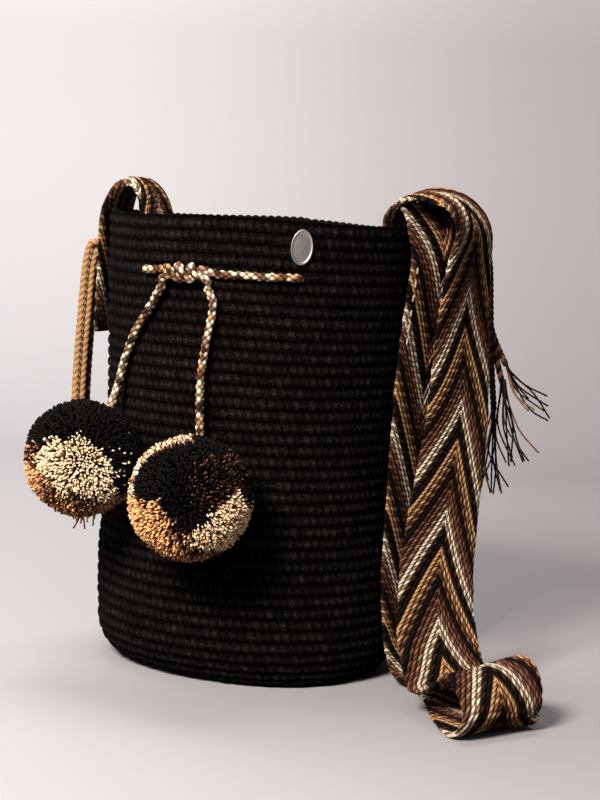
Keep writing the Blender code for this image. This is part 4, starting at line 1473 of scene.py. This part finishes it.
def paper_material():
    """Pale paper with painted light: a smooth step from its bright left to its darker right colour, times a
    factor that grows with Z, so that it is painted lighter towards the top.
    """
    material = bpy.data.materials.new("pale_paper")
    material.use_nodes = True
    tree = material.node_tree
    front = tree.nodes["Principled BSDF"]
    front.inputs["Roughness"].default_value = 0.9
    front.inputs["Specular IOR Level"].default_value = 0.1
    s = Shader(tree)
    place = s.node("ShaderNodeTexCoord").outputs["Object"]
    turned = s.node("ShaderNodeMapping", Vector=place, Rotation=(0.0, 0.0, -CAMERA_AZIMUTH))
    split = s.node("ShaderNodeSeparateXYZ", Vector=turned.outputs["Vector"]).outputs
    smooth = {"interpolation_type": "SMOOTHSTEP"}
    across = s.node("ShaderNodeMapRange", smooth, Value=split["X"], From_Min=-0.45, From_Max=0.55)
    paper = s.blend("MIX", across.outputs["Result"], PAPER_LIT_LEFT, PAPER_SHADED_RIGHT)
    # Painted light: the paper darker near the floor and lighter towards the top
    paper = s.blend("MULTIPLY", 1.0, paper, s.ranged(split["Z"], 0.0, 0.66, 0.82, 1.22))
    rays = s.node("ShaderNodeLightPath").outputs
    seen = s.maths("MAXIMUM", rays["Is Camera Ray"], rays["Is Glossy Ray"])
    tree.links.new(s.blend("MIX", seen, PAPER_BOUNCE, paper), front.inputs["Base Color"])
    # The paper's back is clear, so that the bag can be seen from behind
    behind = s.node("ShaderNodeNewGeometry").outputs["Backfacing"]
    clear = s.node("ShaderNodeBsdfTransparent").outputs["BSDF"]
    mixed = s.node("ShaderNodeMixShader", Fac=behind, i1=front.outputs["BSDF"], i2=clear)
    tree.links.new(mixed.outputs["Shader"], tree.nodes["Material Output"].inputs["Surface"])
    return material


def make_backdrop(right, forward):
    """One sweep of pale paper from the floor up behind the bag: a level, a quarter circle and a wall."""
    profile = [(-1.6, 0.0)]
    for turn in np.linspace(0, math.pi / 2, 12):
        profile.append((1.1 + 0.6 * math.sin(turn), 0.6 * (1 - math.cos(turn))))
    profile.append((1.7, 3.2))
    spans = np.linspace(-PAPER_HALF_WIDTH, PAPER_HALF_WIDTH, PAPER_COLUMNS)
    points = [right * u + forward * w + UP * (z - 0.0002) for w, z in profile for u in spans]
    i, j = np.meshgrid(np.arange(len(profile) - 1), np.arange(PAPER_COLUMNS - 1), indexing="ij")
    a = i * PAPER_COLUMNS + j
    faces = np.stack([a, a + 1, a + PAPER_COLUMNS + 1, a + PAPER_COLUMNS], axis=-1).reshape(-1, 4)
    obj = mesh_from_arrays("backdrop", np.array(points), faces)
    obj.data.materials.append(paper_material())


def area_light(name, place, target, size, power, colour):
    """A square lamp at a place, turned so that it faces its target."""
    data = bpy.data.lights.new(name, "AREA")
    data.size = size
    data.energy = power
    data.color = colour
    obj = bpy.data.objects.new(name, data)
    bpy.context.scene.collection.objects.link(obj)
    back = unit(np.asarray(place, float) - np.asarray(target, float))
    side = unit(np.cross(UP, back))
    up = np.cross(back, side)
    obj.matrix_world = Matrix([[side[k], up[k], back[k], place[k]] for k in range(3)] + [[0, 0, 0, 1]])
    return obj


def make_lights(right, forward):
    """A key light from the upper left front, a light for the paper, and a dim even world."""
    key = -0.75 * right - 1.45 * forward + 1.30 * UP
    area_light("key_light", key, (0.0, 0.0, 0.15), 0.55, 66.0, (1.0, 0.955, 0.91))
    back = -0.2 * right + 0.9 * forward + 2.2 * UP
    wall = 0.6 * right + 1.6 * forward + 0.6 * UP
    area_light("paper_light", back, wall, 1.6, 52.0, (1.0, 0.98, 0.98))
    world = bpy.data.worlds.new("studio")
    world.use_nodes = True
    background = world.node_tree.nodes["Background"].inputs
    background["Color"].default_value = (1.0, 0.97, 0.96, 1.0)
    background["Strength"].default_value = 0.13
    bpy.context.scene.world = world


def make_camera(right, forward):
    """The camera in front, turned a little to its right, looking down and rolled as the photograph is.

    Its axes are the level ones turned by the yaw, then by the pitch, then by the roll.
    """
    level = math.cos(CAMERA_YAW) * forward + math.sin(CAMERA_YAW) * right
    side = math.cos(CAMERA_YAW) * right - math.sin(CAMERA_YAW) * forward
    look = math.cos(CAMERA_PITCH) * level - math.sin(CAMERA_PITCH) * UP
    top = math.cos(CAMERA_PITCH) * UP + math.sin(CAMERA_PITCH) * level
    x_axis = math.cos(CAMERA_ROLL) * side + math.sin(CAMERA_ROLL) * top
    y_axis = math.cos(CAMERA_ROLL) * top - math.sin(CAMERA_ROLL) * side
    place = -forward * CAMERA_DISTANCE + UP * CAMERA_HEIGHT
    data = bpy.data.cameras.new("camera")
    data.sensor_fit = "HORIZONTAL"
    data.sensor_width = 36.0
    data.lens = CAMERA_LENS
    camera = bpy.data.objects.new("camera", data)
    bpy.context.scene.collection.objects.link(camera)
    rows = [[x_axis[k], y_axis[k], -look[k], place[k]] for k in range(3)]
    camera.matrix_world = Matrix(rows + [[0, 0, 0, 1]])
    bpy.context.scene.camera = camera
    bpy.context.scene.view_settings.view_transform = "Standard"


class MOCHILA_PT_panel(bpy.types.Panel):
    """Lists the build steps and sizes."""

    bl_idname = "MOCHILA_PT_panel"
    bl_label = "Mochila bag"
    bl_space_type = "VIEW_3D"
    bl_region_type = "UI"
    bl_category = "Mochila"

    def draw(self, context):
        for size in MochilaSettings.__annotations__:
            self.layout.prop(context.scene.mochila, size)
        for name in STEPS:
            self.layout.operator(f"mochila.{name}")


STEPS = ("materials", "body", "drawstring", "pompoms", "strap", "fringes", "badge", "stage")
CLASSES = (
    MochilaSettings,
    MOCHILA_OT_materials,
    MOCHILA_OT_body,
    MOCHILA_OT_drawstring,
    MOCHILA_OT_pompoms,
    MOCHILA_OT_strap,
    MOCHILA_OT_fringes,
    MOCHILA_OT_badge,
    MOCHILA_OT_stage,
    MOCHILA_PT_panel,
)


def register():
    """Registers the classes and gives the scene its settings."""
    for cls in CLASSES:
        bpy.utils.register_class(cls)
    bpy.types.Scene.mochila = bpy.props.PointerProperty(type=MochilaSettings)


def unregister():
    """Takes the settings and the classes away again."""
    del bpy.types.Scene.mochila
    for cls in reversed(CLASSES):
        bpy.utils.unregister_class(cls)


def main():
    """Builds every group of pieces in order."""
    register()
    for name in STEPS:
        getattr(bpy.ops.mochila, name)()


if __name__ == "__main__":
    main()
